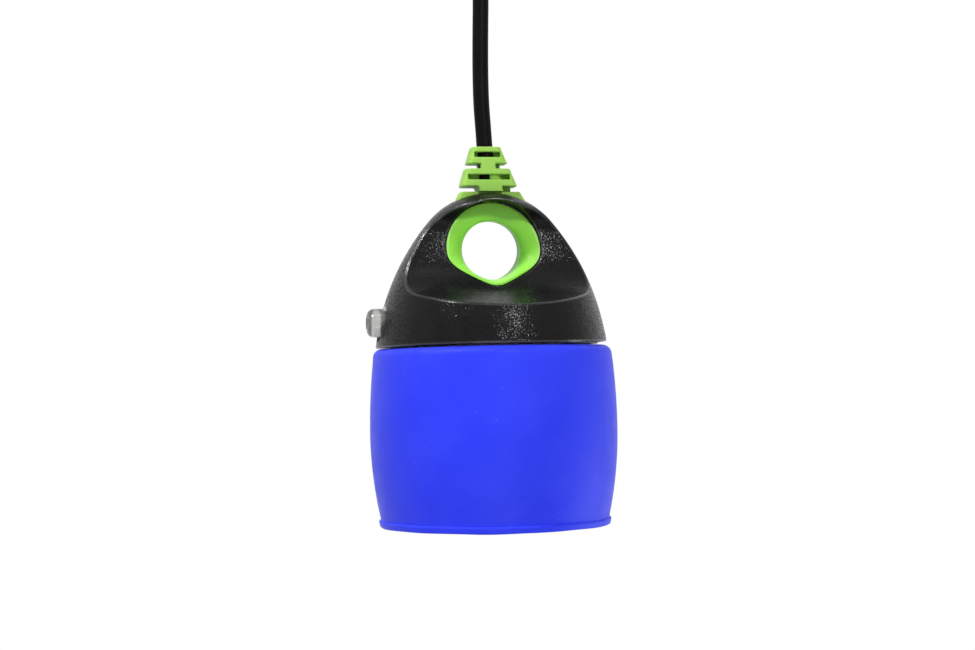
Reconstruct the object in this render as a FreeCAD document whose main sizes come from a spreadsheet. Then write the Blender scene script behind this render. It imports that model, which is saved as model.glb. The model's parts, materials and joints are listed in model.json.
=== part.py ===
import FreeCAD
import Part
import math
import os
import Sketcher

# A small hanging camp light, in millimetres. +Z is up, the hang ring's bore runs along Y with its
# centre at the origin, the front is -Y and the side port is on -X.

doc = FreeCAD.newDocument("camp_light")
sheet = doc.addObject("Spreadsheet::Sheet", "sizes")

# Driving sizes, in millimetres and degrees. A drop is measured down from the ring's centre.
SIZES = {
    # Dome of the housing: an ogive arc that runs into a round cap
    "ogive_radius": 78.24,
    "ogive_offset": 40.17,
    "ogive_drop": 40.63,
    "cap_radius": 26.0,
    "rim_drop": 30.6,
    "rim_round": 0.4,
    "shell_wall": 2.2,
    # Scoops that pinch the dome to a tab under a thick crown, front and rear
    "scoop_reach": 24.0,
    "scoop_rise": 1.6,
    "scoop_radius": 17.0,
    "tab_draft": 12.5,
    "ledge_fall": 14.0,
    "crown_height": 10.8,
    "crown_rise": 22.0,
    "crown_blend": 7.0,
    "tab_wall": 1.5,
    "crease_round": 0.7,
    # Hang ring and its liner
    "ring_radius": 9.6,
    "throat_half": 1.5,
    "bore_skim": 0.15,
    "liner_wall": 1.3,
    "mouth_radius": 15.3,
    "mouth_flat": 11.45,
    "mouth_slope": 28.1,
    "mouth_blend": 9.0,
    "rim_land": 0.6,
    "rim_recess": 0.4,
    "rim_step": 1.0,
    "rim_gap": 0.45,
    "rim_groove": 0.5,
    # Strain relief boot in the top of the housing
    "boot_top": 33.5,
    "boot_seat": 19.0,
    "boot_shoulder": 16.0,
    "boot_foot": 15.5,
    "boot_top_half": 4.7,
    "boot_seat_half": 9.9,
    "boot_base_half": 10.1,
    "boot_foot_half": 11.8,
    "boot_top_depth": 3.9,
    "boot_seat_depth": 4.5,
    "boot_slot_depth": 3.1,
    "boot_corner": 2.0,
    "base_corner": 1.0,
    "slit_height": 1.75,
    "slit_first": 30.1,
    "slit_second": 26.4,
    "slit_third": 22.8,
    "slit_bridge": 1.0,
    "slit_web": 1.2,
    "second_bridge": 2.35,
    "second_wall": 4.6,
    "fourth_bridge": 3.9,
    "fourth_wall": 7.5,
    "sleeve_radius": 3.1,
    "sleeve_shift": 1.9,
    # Cord
    "cord_radius": 2.6,
    "core_radius": 0.75,
    "core_spread": 13.2,
    # Side port and its stopper
    "port_drop": 23.1,
    "port_face": 33.2,
    "port_recess": 5.95,
    "port_boss_half": 7.4,
    "port_boss_reach": 12.0,
    "port_boss_depth": 4.2,
    "port_neck": 4.1,
    "socket_bore": 2.75,
    "socket_depth": 10.0,
    "socket_length": 11.5,
    "socket_half": 4.5,
    "pin_radius": 1.05,
    "pin_setback": 1.6,
    "tail_length": 1.0,
    "leaf_thick": 0.3,
    "leaf_width": 2.0,
    "stopper_gap": 0.3,
    "flange_radius": 5.6,
    "flange_thick": 1.15,
    "stopper_neck": 4.0,
    "stopper_neck_length": 0.6,
    "head_radius": 4.6,
    "head_length": 5.2,
    "head_round": 2.2,
    "head_dimple": 2.0,
    "dimple_depth": 1.5,
    "stem_length": 8.0,
    # Base plate, its neck and the light module
    "plate_thick": 2.5,
    "plate_gap": 0.2,
    "neck_radius": 23.7,
    "neck_wall": 1.6,
    "neck_length": 5.8,
    "spreader_thick": 1.5,
    "board_thick": 1.6,
    "board_gap": 0.6,
    "diffuser_drop": 5.4,
    "diffuser_wall": 1.4,
    "diffuser_round": 2.0,
    "spigot_length": 2.4,
    "chip_side": 2.8,
    "chip_height": 0.8,
    "chip_edge": 5.8,
    # Screws
    "boss_ring": 28.6,
    "boss_radius": 3.2,
    "screw_shank": 1.25,
    "screw_head": 2.7,
    "screw_head_height": 1.4,
    "screw_length": 8.0,
    "pilot_gap": 0.1,
    "small_shank": 0.9,
    "small_head": 1.8,
    "small_head_height": 0.9,
    "small_bite": 1.6,
    "module_screw_edge": 1.9,
    # Driver
    "driver_length": 33.0,
    "driver_width": 24.0,
    "driver_offset": 3.0,
    "driver_thick": 1.2,
    "post_height": 2.6,
    "post_radius": 2.2,
    "post_edge": 2.5,
    "inductor_radius": 4.0,
    "inductor_height": 4.6,
    "capacitor_radius": 3.15,
    "capacitor_height": 7.4,
    "wire_radius": 0.6,
    "wire_hole": 3.0,
    "chip_length": 5.0,
    "chip_width": 4.0,
    "chip_thick": 1.5,
    "part_gap": 1.0,
    # Shade
    "shade_gap": 0.5,
    "shade_height": 57.5,
    "shade_wall": 2.0,
    "shade_hole_gap": 0.3,
    "shade_corner": 2.9,
    "shade_shoulder": 38.65,
    "shade_belly": 40.0,
    "belly_drop": 58.0,
    "shade_mouth": 36.8,
    "bead_radius": 37.5,
    "bead_height": 2.8,
    "bead_round": 0.8,
    "bead_slope": 0.3,
    # Plug on the far end of the cord
    "plug_start": 86.0,
    "plug_shift": 1.6,
    "relief_length": 9.0,
    "relief_tip": 3.4,
    "relief_root": 4.4,
    "relief_gap": 1.0,
    "relief_skin": 0.3,
    "plug_radius": 5.4,
    "plug_length": 17.0,
    "plug_round": 1.0,
    "barrel_radius": 2.75,
    "barrel_length": 9.5,
    "barrel_bore": 1.25,
    "barrel_wall": 0.35,
    "contact_wall": 0.35,
    "barrel_step": 0.5,
}
for row, (alias, number) in enumerate(SIZES.items(), start=1):
    sheet.set(f"A{row}", alias.replace("_", " "))
    sheet.set(f"B{row}", str(number))
    sheet.setAlias(f"B{row}", alias)
doc.recompute()


class Size:
    """A length or an angle that carries its number and the sheet expression behind it."""

    def __init__(self, value, text):
        self.value = float(value)
        self.text = text

    def __add__(self, other):
        other = as_size(other)
        return Size(self.value + other.value, f"({self.text} + {other.text})")

    def __sub__(self, other):
        other = as_size(other)
        return Size(self.value - other.value, f"({self.text} - {other.text})")

    def __mul__(self, other):
        other = as_size(other)
        return Size(self.value * other.value, f"({self.text} * {other.text})")

    def __truediv__(self, other):
        other = as_size(other)
        return Size(self.value / other.value, f"({self.text} / {other.text})")

    def __neg__(self):
        return Size(-self.value, f"(0 - {self.text})")

    def __radd__(self, other):
        return as_size(other) + self

    def __rsub__(self, other):
        return as_size(other) - self

    def __rmul__(self, other):
        return as_size(other) * self


def as_size(number):
    return number if isinstance(number, Size) else Size(number, repr(float(number)))


def root(size):
    return Size(math.sqrt(size.value), f"sqrt({size.text})")


def sine(angle):
    return Size(math.sin(math.radians(angle.value)), f"sin({angle.text})")


def cosine(angle):
    return Size(math.cos(math.radians(angle.value)), f"cos({angle.text})")


class Sheet:
    """Gives each cell of the sheet as a Size."""

    def __getattr__(self, alias):
        return Size(getattr(sheet, alias), f"sizes.{alias}")


S = Sheet()
parts = {}


def bind(thing, path, size):
    """Binds one property of an object to the sheet."""
    size = as_size(size)
    thing.setExpression(path, size.text)


def place(thing, x=0, y=0, z=0, turn=None):
    """Puts an object at x, y, z, turned by (axis, degrees) where given."""
    if turn:
        thing.Placement = FreeCAD.Placement(FreeCAD.Vector(), FreeCAD.Rotation(FreeCAD.Vector(*turn[0]), turn[1]))
    for letter, size in zip("xyz", (x, y, z)):
        bind(thing, f"Placement.Base.{letter}", size)
    return thing


FORWARD = ((1, 0, 0), 90)
OUTWARD = ((0, 1, 0), -90)


def cylinder(name, radius, height, x=0, y=0, z=0, turn=None):
    thing = doc.addObject("Part::Cylinder", name)
    bind(thing, "Radius", radius)
    bind(thing, "Height", height)
    return place(thing, x, y, z, turn)


def block(name, lengths, centre_xy=(0, 0), z=0):
    """A box with its middle over centre_xy and its underside at z."""
    thing = doc.addObject("Part::Box", name)
    for side, length in zip(("Length", "Width", "Height"), lengths):
        bind(thing, side, length)
    return place(thing, centre_xy[0] - as_size(lengths[0]) / 2, centre_xy[1] - as_size(lengths[1]) / 2, z)


def cut(name, base, tool):
    thing = doc.addObject("Part::Cut", name)
    thing.Base = base
    thing.Tool = tool
    return thing


def fuse(name, things):
    thing = doc.addObject("Part::MultiFuse", name)
    thing.Shapes = things
    return thing


def group(name, things):
    thing = doc.addObject("Part::Compound", name)
    thing.Links = things
    return thing


def node(label, thing):
    """Names an object as one piece of the light."""
    thing.Label = label
    parts[label] = thing
    return thing


class Outline:
    """A closed sketch outline, each corner bound to the sheet by its two coordinates."""

    def __init__(self, sketch, u, v):
        self.sketch = sketch
        self.first = self.here = (as_size(u), as_size(v))
        self.joints = []

    def line(self, u, v):
        there = (as_size(u), as_size(v))
        edge = Part.LineSegment(self.vector(self.here), self.vector(there))
        self.joints.append((self.sketch.addGeometry(edge, False), 1, 2, there))
        self.here = there
        return self

    def arc(self, u, v, radius, side=1):
        """An arc of less than half a turn, counter-clockwise for side 1 and clockwise for side -1."""
        there = (as_size(u), as_size(v))
        radius = as_size(radius)
        a, b = self.vector(self.here), self.vector(there)
        chord = b - a
        rise = math.sqrt(max(radius.value ** 2 - (chord.Length / 2) ** 2, 0))
        normal = FreeCAD.Vector(-chord.y, chord.x, 0).normalize()
        centre = (a + b) / 2 + normal * rise * side
        start, end = (a, b) if side > 0 else (b, a)
        angles = [math.atan2(p.y - centre.y, p.x - centre.x) for p in (start, end)]
        if angles[1] < angles[0]:
            angles[1] += 2 * math.pi
        circle = Part.Circle(centre, FreeCAD.Vector(0, 0, 1), radius.value)
        edge = self.sketch.addGeometry(Part.ArcOfCircle(circle, angles[0], angles[1]), False)
        head, tail = (1, 2) if side > 0 else (2, 1)
        self.joints.append((edge, head, tail, there))
        rule = self.sketch.addConstraint(Sketcher.Constraint("Radius", edge, radius.value))
        self.sketch.setExpression(f"Constraints[{rule}]", radius.text)
        self.here = there
        return self

    def close(self):
        if (self.vector(self.here) - self.vector(self.first)).Length > 1e-7:
            self.line(*self.first)
        for (edge, _, tail, there), (following, head, _, _) in zip(self.joints, self.joints[1:] + self.joints[:1]):
            self.sketch.addConstraint(Sketcher.Constraint("Coincident", edge, tail, following, head))
            for kind, axis, size in (("DistanceX", -2, there[0]), ("DistanceY", -1, there[1])):
                if size.text == "0.0":
                    self.sketch.addConstraint(Sketcher.Constraint("PointOnObject", edge, tail, axis))
                else:
                    rule = self.sketch.addConstraint(Sketcher.Constraint(kind, edge, tail, size.value))
                    self.sketch.setExpression(f"Constraints[{rule}]", size.text)
        return self

    @staticmethod
    def vector(corner):
        return FreeCAD.Vector(corner[0].value, corner[1].value, 0)


def body_sketch(name, role):
    """A body with one sketch on the named origin plane of its own."""
    body = doc.addObject("PartDesign::Body", name)
    sketch = body.newObject("Sketcher::SketchObject", name + "_sketch")
    plane = [feature for feature in body.Origin.OriginFeatures if feature.Role == role][0]
    sketch.AttachmentSupport = [(plane, "")]
    sketch.MapMode = "FlatFace"
    return body, sketch


def turned(name, draw, axis="V_Axis"):
    """A body turned about the sketch's own axis, its half section drawn in the XZ plane."""
    body, sketch = body_sketch(name, "XZ_Plane")
    draw(sketch)
    turning = body.newObject("PartDesign::Revolution", name + "_turning")
    turning.Profile = sketch
    turning.ReferenceAxis = (sketch, [axis])
    turning.Angle = 360
    return body


# Heights and radii that several pieces share
rim_z = -S.rim_drop
plate_top = rim_z + S.plate_thick
neck_end = rim_z - S.neck_length
spreader_end = rim_z - S.spreader_thick
board_end = spreader_end - S.board_thick
driver_z = plate_top + S.post_height
driver_top = driver_z + S.driver_thick
port_z = -S.port_drop


def dome_radius(z, inset):
    """The dome's radius at height z, with its arc drawn in by inset."""
    return root((S.ogive_radius - inset) * (S.ogive_radius - inset)
                - (z + S.ogive_drop) * (z + S.ogive_drop)) - S.ogive_offset


def draw_dome(sketch, inset, bottom, corner):
    """Half section of the dome: bottom, ogive arc, cap arc and axis."""
    reach = S.ogive_radius - S.cap_radius
    climb = root(reach * reach - S.ogive_offset * S.ogive_offset)
    cap = S.cap_radius - inset
    cap_z = climb - S.ogive_drop
    start = bottom + corner
    outline = Outline(sketch, 0, bottom)
    outline.line(dome_radius(start, inset) - corner, bottom)
    if as_size(corner).value > 0:
        outline.arc(dome_radius(start, inset), start, corner)
    outline.arc(cap * S.ogive_offset / reach, cap_z + cap * climb / reach, S.ogive_radius - inset)
    outline.arc(0, cap_z + cap, cap)
    outline.close()


def draw_scoop(sketch, inset, side, crowned):
    """What a scoop takes away, seen along X: tab face, cove and ledge, moved in by inset.

    Where crowned is true it stops under the crown; otherwise the tab's face runs on to the top.
    """
    radius = S.scoop_radius + inset
    top_run, ledge_run = 28, 26
    high = (S.scoop_reach - radius * cosine(S.tab_draft), S.scoop_rise - radius * sine(S.tab_draft))
    low = (S.scoop_reach - radius * sine(S.ledge_fall), S.scoop_rise - radius * cosine(S.ledge_fall))
    far = (low[0] + ledge_run * cosine(S.ledge_fall), low[1] - ledge_run * sine(S.ledge_fall))
    if crowned:
        slope = sine(S.crown_rise) / cosine(S.crown_rise)
        corner = high[0] - (S.crown_height - high[1]) * sine(S.tab_draft) / cosine(S.tab_draft)
        half_turn = (S.tab_draft - S.crown_rise + 90) / 2
        reach = S.crown_blend * sine(half_turn) / cosine(half_turn)
        top = (corner + reach * cosine(S.crown_rise), S.crown_height + reach * sine(S.crown_rise))
        below = (corner + reach * sine(S.tab_draft), S.crown_height - reach * cosine(S.tab_draft))
        outline = Outline(sketch, side * top[0], top[1])
        outline.arc(side * below[0], below[1], S.crown_blend, side)
        ceiling = top[1] + (far[0] - top[0]) * slope
    else:
        top = (high[0] - top_run * sine(S.tab_draft), high[1] + top_run * cosine(S.tab_draft))
        outline = Outline(sketch, side * top[0], top[1])
        ceiling = top[1]
    outline.line(side * high[0], high[1])
    outline.arc(side * low[0], low[1], radius, side)
    outline.line(side * far[0], far[1])
    outline.line(side * far[0], ceiling)
    outline.close()


def scoop_depth(z, inset):
    """Distance from the mid-plane to the tab's face or the cove at height z, as a number."""
    radius = sheet.scoop_radius + inset
    draft = math.radians(sheet.tab_draft)
    high = sheet.scoop_rise - radius * math.sin(draft)
    if z > high:
        return sheet.scoop_reach - radius * math.cos(draft) - (z - high) * math.tan(draft)
    return sheet.scoop_reach - math.sqrt(radius ** 2 - (z - sheet.scoop_rise) ** 2)


# Liner of the hang ring
TURN_STEPS = 72
FLARE_STEPS = 6
FLARE_SWEEP = math.radians(62)


def mouth_radius(angle):
    """The mouth's outline about the ring's centre: round above, two blended flats below."""
    blend = sheet.mouth_blend
    total = sheet.mouth_radius ** -blend
    for side in (-1, 1):
        facing = math.radians(-90 + side * sheet.mouth_slope)
        total += max(math.cos(angle - facing), 0) ** blend / sheet.mouth_flat ** blend
    return total ** (-1 / blend)


def closed_edge(points):
    curve = Part.BSplineCurve()
    curve.interpolate(Points=points, PeriodicFlag=True)
    return curve.toShape()


def ring_edge(radius_at, depth_at):
    """A closed edge round the ring, its radius and depth given for each angle."""
    points = []
    for step in range(TURN_STEPS):
        angle = math.pi / 2 + 2 * math.pi * step / TURN_STEPS
        radius = radius_at(angle)
        x, z = radius * math.cos(angle), radius * math.sin(angle)
        points.append(FreeCAD.Vector(x, -depth_at(angle), z))
    return closed_edge(points)


def rim_depth(angle):
    return scoop_depth(mouth_radius(angle) * math.sin(angle), sheet.rim_recess)


def skin(edges):
    """Faces through closed edges: ruled between two of them, smooth through more."""
    if len(edges) == 2:
        return Part.makeRuledSurface(edges[0], edges[1]).Faces
    return Part.makeLoft([Part.Wire([edge]) for edge in edges], False, False).Faces


def solid_of(faces):
    shell = Part.Shell(faces)
    shell.sewShape()
    solid = Part.Solid(shell)
    solid.fix(1e-5, 1e-5, 1e-4)
    return solid


def liner_shape():
    """The front half of the liner before its bore is cut: throat, bell-shaped flare, thin rim, conical back."""
    bore, throat = sheet.ring_radius - sheet.bore_skim, sheet.throat_half

    def flare(share):
        sweep = FLARE_SWEEP * share
        out = (1 - math.cos(sweep)) / (1 - math.cos(FLARE_SWEEP))
        deep = math.sin(sweep) / math.sin(FLARE_SWEEP)
        return ring_edge(lambda a: bore + (mouth_radius(a) - sheet.rim_land - bore) * out,
                         lambda a: throat + (rim_depth(a) - throat) * deep)

    inner = [flare(step / FLARE_STEPS) for step in range(FLARE_STEPS + 1)]
    bore_start = ring_edge(lambda a: bore, lambda a: 0)
    rim = ring_edge(mouth_radius, rim_depth)
    step_back = ring_edge(mouth_radius, lambda a: rim_depth(a) - sheet.rim_step)
    back = ring_edge(lambda a: sheet.ring_radius + sheet.liner_wall, lambda a: 0)
    faces = skin([bore_start, inner[0]]) + skin(inner)
    for pair in ((inner[-1], rim), (rim, step_back), (step_back, back), (back, bore_start)):
        faces += skin(pair)
    return solid_of(faces)


def mouth_cutter_shape():
    """What the housing leaves free for the front half of the liner: a groove round its rim, then its back."""
    out = ring_edge(lambda a: mouth_radius(a) + sheet.rim_gap, lambda a: 30)
    groove = ring_edge(lambda a: mouth_radius(a) + sheet.rim_gap, lambda a: rim_depth(a) - sheet.rim_groove)
    seat = ring_edge(mouth_radius, lambda a: rim_depth(a) - sheet.rim_groove)
    step_back = ring_edge(mouth_radius, lambda a: rim_depth(a) - sheet.rim_step)
    back = ring_edge(lambda a: sheet.ring_radius + sheet.liner_wall, lambda a: 0)
    edges = [out, groove, seat, step_back, back]
    faces = []
    for pair in zip(edges, edges[1:]):
        faces += skin(pair)
    faces += [Part.Face(Part.Wire([out])), Part.Face(Part.Wire([back]))]
    return solid_of(faces)


def shaped(name, shape):
    """An object whose shape is computed here."""
    thing = doc.addObject("Part::Feature", name)
    thing.Shape = shape
    thing.Placement = FreeCAD.Placement()
    return thing


def rear_of(shape):
    """The same shape on the rear side, mirrored through the mid-plane."""
    return shape.mirror(FreeCAD.Vector(0, 0, 0), FreeCAD.Vector(0, 1, 0))


def scooped_dome(name, inset, wall, corner, crowned):
    """A dome pinched by both scoops: inset draws in the dome, wall draws in the scoops."""
    body = turned(name, lambda sketch: draw_dome(sketch, inset, rim_z, corner))
    sketch = body.newObject("Sketcher::SketchObject", name + "_scoop_sketch")
    plane = [feature for feature in body.Origin.OriginFeatures if feature.Role == "YZ_Plane"][0]
    sketch.AttachmentSupport = [(plane, "")]
    sketch.MapMode = "FlatFace"
    for side in (-1, 1):
        draw_scoop(sketch, wall, side, crowned)
    pocket = body.newObject("PartDesign::Pocket", name + "_scoops")
    pocket.Profile = sketch
    pocket.SideType = "Symmetric"
    bind(pocket, "Length", 4 * S.ogive_offset)
    return body, pocket


def on_dome(point):
    """Whether a point lies on the dome's ogive or cap."""
    radius = math.hypot(point.x, point.y)
    reach = sheet.ogive_radius - sheet.cap_radius
    cap_z = math.sqrt(reach ** 2 - sheet.ogive_offset ** 2) - sheet.ogive_drop
    ogive = math.hypot(radius + sheet.ogive_offset, point.z + sheet.ogive_drop) - sheet.ogive_radius
    cap = math.hypot(radius, point.z - cap_z) - sheet.cap_radius
    return min(abs(ogive), abs(cap)) < 0.01


def crease_edges(shape):
    """Names of the edges where a scoop meets the dome."""
    names = []
    for number, edge in enumerate(shape.Edges, start=1):
        if edge.Degenerated or edge.Length < 1:
            continue
        ends = [edge.valueAt(edge.FirstParameter + share * (edge.LastParameter - edge.FirstParameter))
                for share in (0.2, 0.5, 0.8)]
        seam = all(abs(point.y) < 0.01 for point in ends)
        if all(on_dome(point) for point in ends) and ends[1].z > rim_z.value + 1 and not seam:
            kinds = {type(face.Surface).__name__ for face in shape.ancestorsOfType(edge, Part.Face)}
            if kinds & {"Plane", "Cylinder"}:
                names.append(f"Edge{number}")
    return names


def round_creases(body, pocket):
    doc.recompute()
    fillet = body.newObject("PartDesign::Fillet", body.Name + "_creases")
    fillet.Base = (pocket, crease_edges(pocket.Shape))
    bind(fillet, "Radius", S.crease_round)
    body.Tip = fillet
    return body


def around(ring, count, first=0.0):
    """Points evenly spaced round the vertical axis, as sheet expressions."""
    places = []
    for step in range(count):
        angle = as_size(first + 360 * step / count)
        places.append((ring * cosine(angle), ring * sine(angle)))
    return places


# Housing
SCREW_COUNT = 3
boss_places = around(S.boss_ring, SCREW_COUNT)
boss_height = 0.5 * S.rim_drop
housing_form = round_creases(*scooped_dome("housing_form", as_size(0), as_size(0), S.rim_round, True))
cavity_form, _ = scooped_dome("cavity_form", S.shell_wall, S.tab_wall, as_size(0), False)
bosses = [cylinder(f"boss_{number}", S.boss_radius, boss_height, x, y, plate_top)
          for number, (x, y) in enumerate(boss_places)]
boss_inner = S.port_face - S.port_boss_depth
port_boss = block("port_boss", (S.port_boss_reach, 2 * S.port_boss_half,
                                S.rim_drop - S.port_drop + S.port_boss_half),
                  (-boss_inner - S.port_boss_reach / 2, 0), rim_z)
cavity = cut("cavity", cavity_form, fuse("cavity_bosses", bosses + [port_boss]))
slot_height = 2 * S.cap_radius
boot_slot = block("boot_slot", (2 * S.boot_foot_half, 2 * S.boot_slot_depth, slot_height), (0, 0), S.boot_foot)
spot_face = cylinder("spot_face", S.port_recess, S.port_boss_reach, -S.port_face, 0, port_z, OUTWARD)
port_hole = cylinder("port_hole", S.port_neck, S.port_boss_depth + 2, 1 - boss_inner, 0, port_z, OUTWARD)
pilots = [cylinder(f"pilot_{number}", S.screw_shank + S.pilot_gap, S.screw_length, x, y, plate_top)
          for number, (x, y) in enumerate(boss_places)]
mouth_front = shaped("mouth_front", mouth_cutter_shape())
mouth_rear = shaped("mouth_rear", rear_of(mouth_cutter_shape()))
hollows = fuse("housing_hollows", [cavity, boot_slot, spot_face, port_hole, mouth_front, mouth_rear] + pilots)
node("housing", cut("housing_cut", housing_form, hollows))

# Liner of the hang ring, two halves that meet in the middle of the tab
for word, form in (("front", liner_shape()), ("rear", rear_of(liner_shape()))):
    bore_cutter = cylinder(f"ring_bore_{word}", S.ring_radius, 4 * S.mouth_radius, 0, 2 * S.mouth_radius, 0,
                           FORWARD)
    node(f"ring_liner_{word}", cut(f"liner_{word}", shaped(f"liner_{word}_form", form), bore_cutter))


def draw_rounded(sketch, half_x, half_y, corner):
    """A rounded rectangle about the sketch's origin."""
    outline = Outline(sketch, corner - half_x, -half_y)
    outline.line(half_x - corner, -half_y).arc(half_x, corner - half_y, corner)
    outline.line(half_x, half_y - corner).arc(half_x - corner, half_y, corner)
    outline.line(corner - half_x, half_y).arc(-half_x, half_y - corner, corner)
    outline.line(-half_x, corner - half_y).arc(corner - half_x, -half_y, corner)
    outline.close()


def tapered(name, low, high, corner):
    """A tapered block; low and high are (half_x, half_y, z)."""
    body = doc.addObject("PartDesign::Body", name)
    plane = [feature for feature in body.Origin.OriginFeatures if feature.Role == "XY_Plane"][0]
    sketches = []
    for word, (half_x, half_y, z) in (("low", low), ("high", high)):
        sketch = body.newObject("Sketcher::SketchObject", f"{name}_{word}")
        sketch.AttachmentSupport = [(plane, "")]
        sketch.MapMode = "FlatFace"
        bind(sketch, "AttachmentOffset.Base.z", z)
        draw_rounded(sketch, half_x, half_y, corner)
        sketches.append(sketch)
    loft = body.newObject("PartDesign::AdditiveLoft", name + "_loft")
    loft.Profile = sketches[0]
    loft.Sections = sketches[1:]
    loft.Ruled = True
    return body


# Strain relief boot: a flattened wedge on a base that fills the slot, cut by slits that alternate
boot_wedge = tapered("boot_wedge", (S.boot_seat_half, S.boot_seat_depth, S.boot_seat),
                     (S.boot_top_half, S.boot_top_depth, S.boot_top), S.boot_corner)
boot_base = tapered("boot_base", (S.boot_foot_half, S.boot_slot_depth, S.boot_shoulder),
                    (S.boot_base_half, S.boot_slot_depth, S.boot_seat), S.base_corner)
boot_anchor = block("boot_anchor", (2 * S.boot_foot_half, 2 * S.boot_slot_depth, S.boot_shoulder - S.boot_foot),
                    (0, 0), S.boot_foot)
boot_bore = cylinder("boot_bore", S.cord_radius, S.boot_top - S.boot_foot + 2, 0, 0, S.boot_foot - 1)


def wedge_half(z):
    """Half width of the boot's wedge at height z."""
    share = (z - S.boot_seat) / (S.boot_top - S.boot_seat)
    return S.boot_seat_half + (S.boot_top_half - S.boot_seat_half) * share


def facing_slits(name, z):
    """Slits from the front and from the rear, with a web between and a bridge at each side."""
    width = 2 * (wedge_half(z + S.slit_height) - S.slit_bridge)
    reach = 2 * S.boot_seat_depth
    offset = reach / 2 + S.slit_web / 2
    return [block(f"{name}_front", (width, reach, S.slit_height), (0, -offset), z),
            block(f"{name}_rear", (width, reach, S.slit_height), (0, offset), z)]


def side_slits(name, z, bridge, right_wall):
    """A slit from the left to the bridge, and one from the right that leaves a wall at the rear."""
    reach = 2 * S.boot_foot_half
    deep = 4 * S.boot_seat_depth
    left = block(f"{name}_left", (reach, deep, S.slit_height), (-bridge - reach / 2, 0), z)
    right = block(f"{name}_right", (reach, deep, S.slit_height), (right_wall + reach / 2, 0), z)
    pocket = block(f"{name}_pocket", (reach, deep, S.slit_height), (bridge + reach / 2, -deep / 2), z)
    return [left, right, pocket]


slits = facing_slits("slit_first", S.slit_first) + side_slits(
    "slit_second", S.slit_second, S.second_bridge, S.second_wall)
slits += side_slits("slit_fourth", S.boot_seat, S.fourth_bridge, S.fourth_wall)
third = facing_slits("slit_third", S.slit_third)
sleeve = cylinder("boot_sleeve", S.sleeve_radius, S.slit_height, S.sleeve_shift, 0, S.slit_third)
slits.append(cut("slit_third_cut", fuse("slit_third_pair", third), sleeve))
boot_solid = fuse("boot_solid", [boot_wedge, boot_base, boot_anchor])
boot_tools = fuse("boot_tools", slits + [boot_bore, shaped("boot_mouth_front", mouth_cutter_shape()),
                                         shaped("boot_mouth_rear", rear_of(mouth_cutter_shape()))])
node("cord_boot", cut("boot_cut", boot_solid, boot_tools))
node("cord_tail", cylinder("tail", S.cord_radius, S.boot_top - S.boot_foot, 0, 0, S.boot_foot))


def tube(name, points, radius):
    """A round tube along straight runs joined by tangent arcs, as large as the runs allow."""
    points = [FreeCAD.Vector(*point) for point in points]
    edges, radii = [], []
    start = points[0]
    for before, corner, after in zip(points, points[1:], points[2:]):
        into, out = (corner - before), (after - corner)
        reach = 0.45 * min(into.Length, out.Length)
        turn = into.getAngle(out)
        radii.append(reach / math.tan(turn / 2))
        into.normalize()
        out.normalize()
        a, b = corner - into * reach, corner + out * reach
        toward = (out - into).normalize()
        centre = corner + toward * math.hypot(reach, radii[-1])
        middle = centre - toward * radii[-1]
        edges += [Part.LineSegment(start, a).toShape(), Part.Arc(a, middle, b).toShape()]
        start = b
    edges.append(Part.LineSegment(start, points[-1]).toShape())
    path = Part.Wire(edges)
    ring = Part.Circle(points[0], points[1] - points[0], radius).toShape()
    shape = path.makePipeShell([Part.Wire([ring])], True, False)
    length = sum(edge.Length for edge in edges)
    expected = math.pi * radius ** 2 * length
    print(f"{name}: length {length:.1f}, least radius {min(radii):.1f}, "
          f"volume {shape.Volume:.2f} against {expected:.2f}")
    return shaped(name, shape)


# The cord's two cores part below the boot and pass the ring on either side
core_start = sheet.boot_foot
spread = sheet.core_spread
driver_pad = driver_top.value
for word, side in (("positive", -1), ("negative", 1)):
    node(f"lead_{word}", tube(f"core_{word}", [
        (side * 1.05, 0, core_start), (side * 1.05, 0, core_start - 0.95), (side * 2.1, 0, core_start - 1.85),
        (side * (spread - 8), 0, core_start - 2.45), (side * (spread - 3.9), 0, core_start - 5.6),
        (side * spread, 0, 2), (side * (spread + 0.3), 0, -6), (side * (spread - 4), 0, -14),
        (side * 6.5, 0, driver_pad + 4.4), (side * 6.5, 0, driver_pad)], sheet.core_radius))

# Base plate with its neck, the posts of the driver board and a notch round the port's boss
plate_radius = dome_radius(plate_top, S.shell_wall) - S.plate_gap


def draw_plate(sketch):
    inner = S.neck_radius - S.neck_wall
    outline = Outline(sketch, S.wire_hole, rim_z)
    outline.line(inner, rim_z).line(inner, neck_end).line(S.neck_radius, neck_end).line(S.neck_radius, rim_z)
    outline.line(plate_radius, rim_z).line(plate_radius, plate_top).line(S.wire_hole, plate_top).close()


post_x = S.driver_length / 2 - S.post_edge
post_y = S.driver_width / 2 - S.post_edge
post_places = [(S.driver_offset + side_x * post_x, side_y * post_y) for side_x in (-1, 1) for side_y in (-1, 1)]
plate_form = turned("plate_form", draw_plate)
posts = [cylinder(f"post_{number}", S.post_radius, S.post_height, x, y, plate_top)
         for number, (x, y) in enumerate(post_places)]
notch = block("plate_notch", (S.port_boss_reach, 2 * (S.port_boss_half + S.plate_gap), 4 * S.plate_thick),
              (S.plate_gap - boss_inner - S.port_boss_reach / 2, 0), rim_z - S.plate_thick)
module_radius = S.neck_radius - S.neck_wall - S.plate_gap
spigot_outer = S.neck_radius - S.neck_wall - S.pilot_gap
spigot_inner = spigot_outer - S.diffuser_wall
board_radius = spigot_inner - S.stopper_gap
module_places = around(board_radius - S.module_screw_edge, SCREW_COUNT, 90.0)
module_bite = S.board_thick + S.spreader_thick + S.small_bite
plate_holes = [notch]
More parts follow.
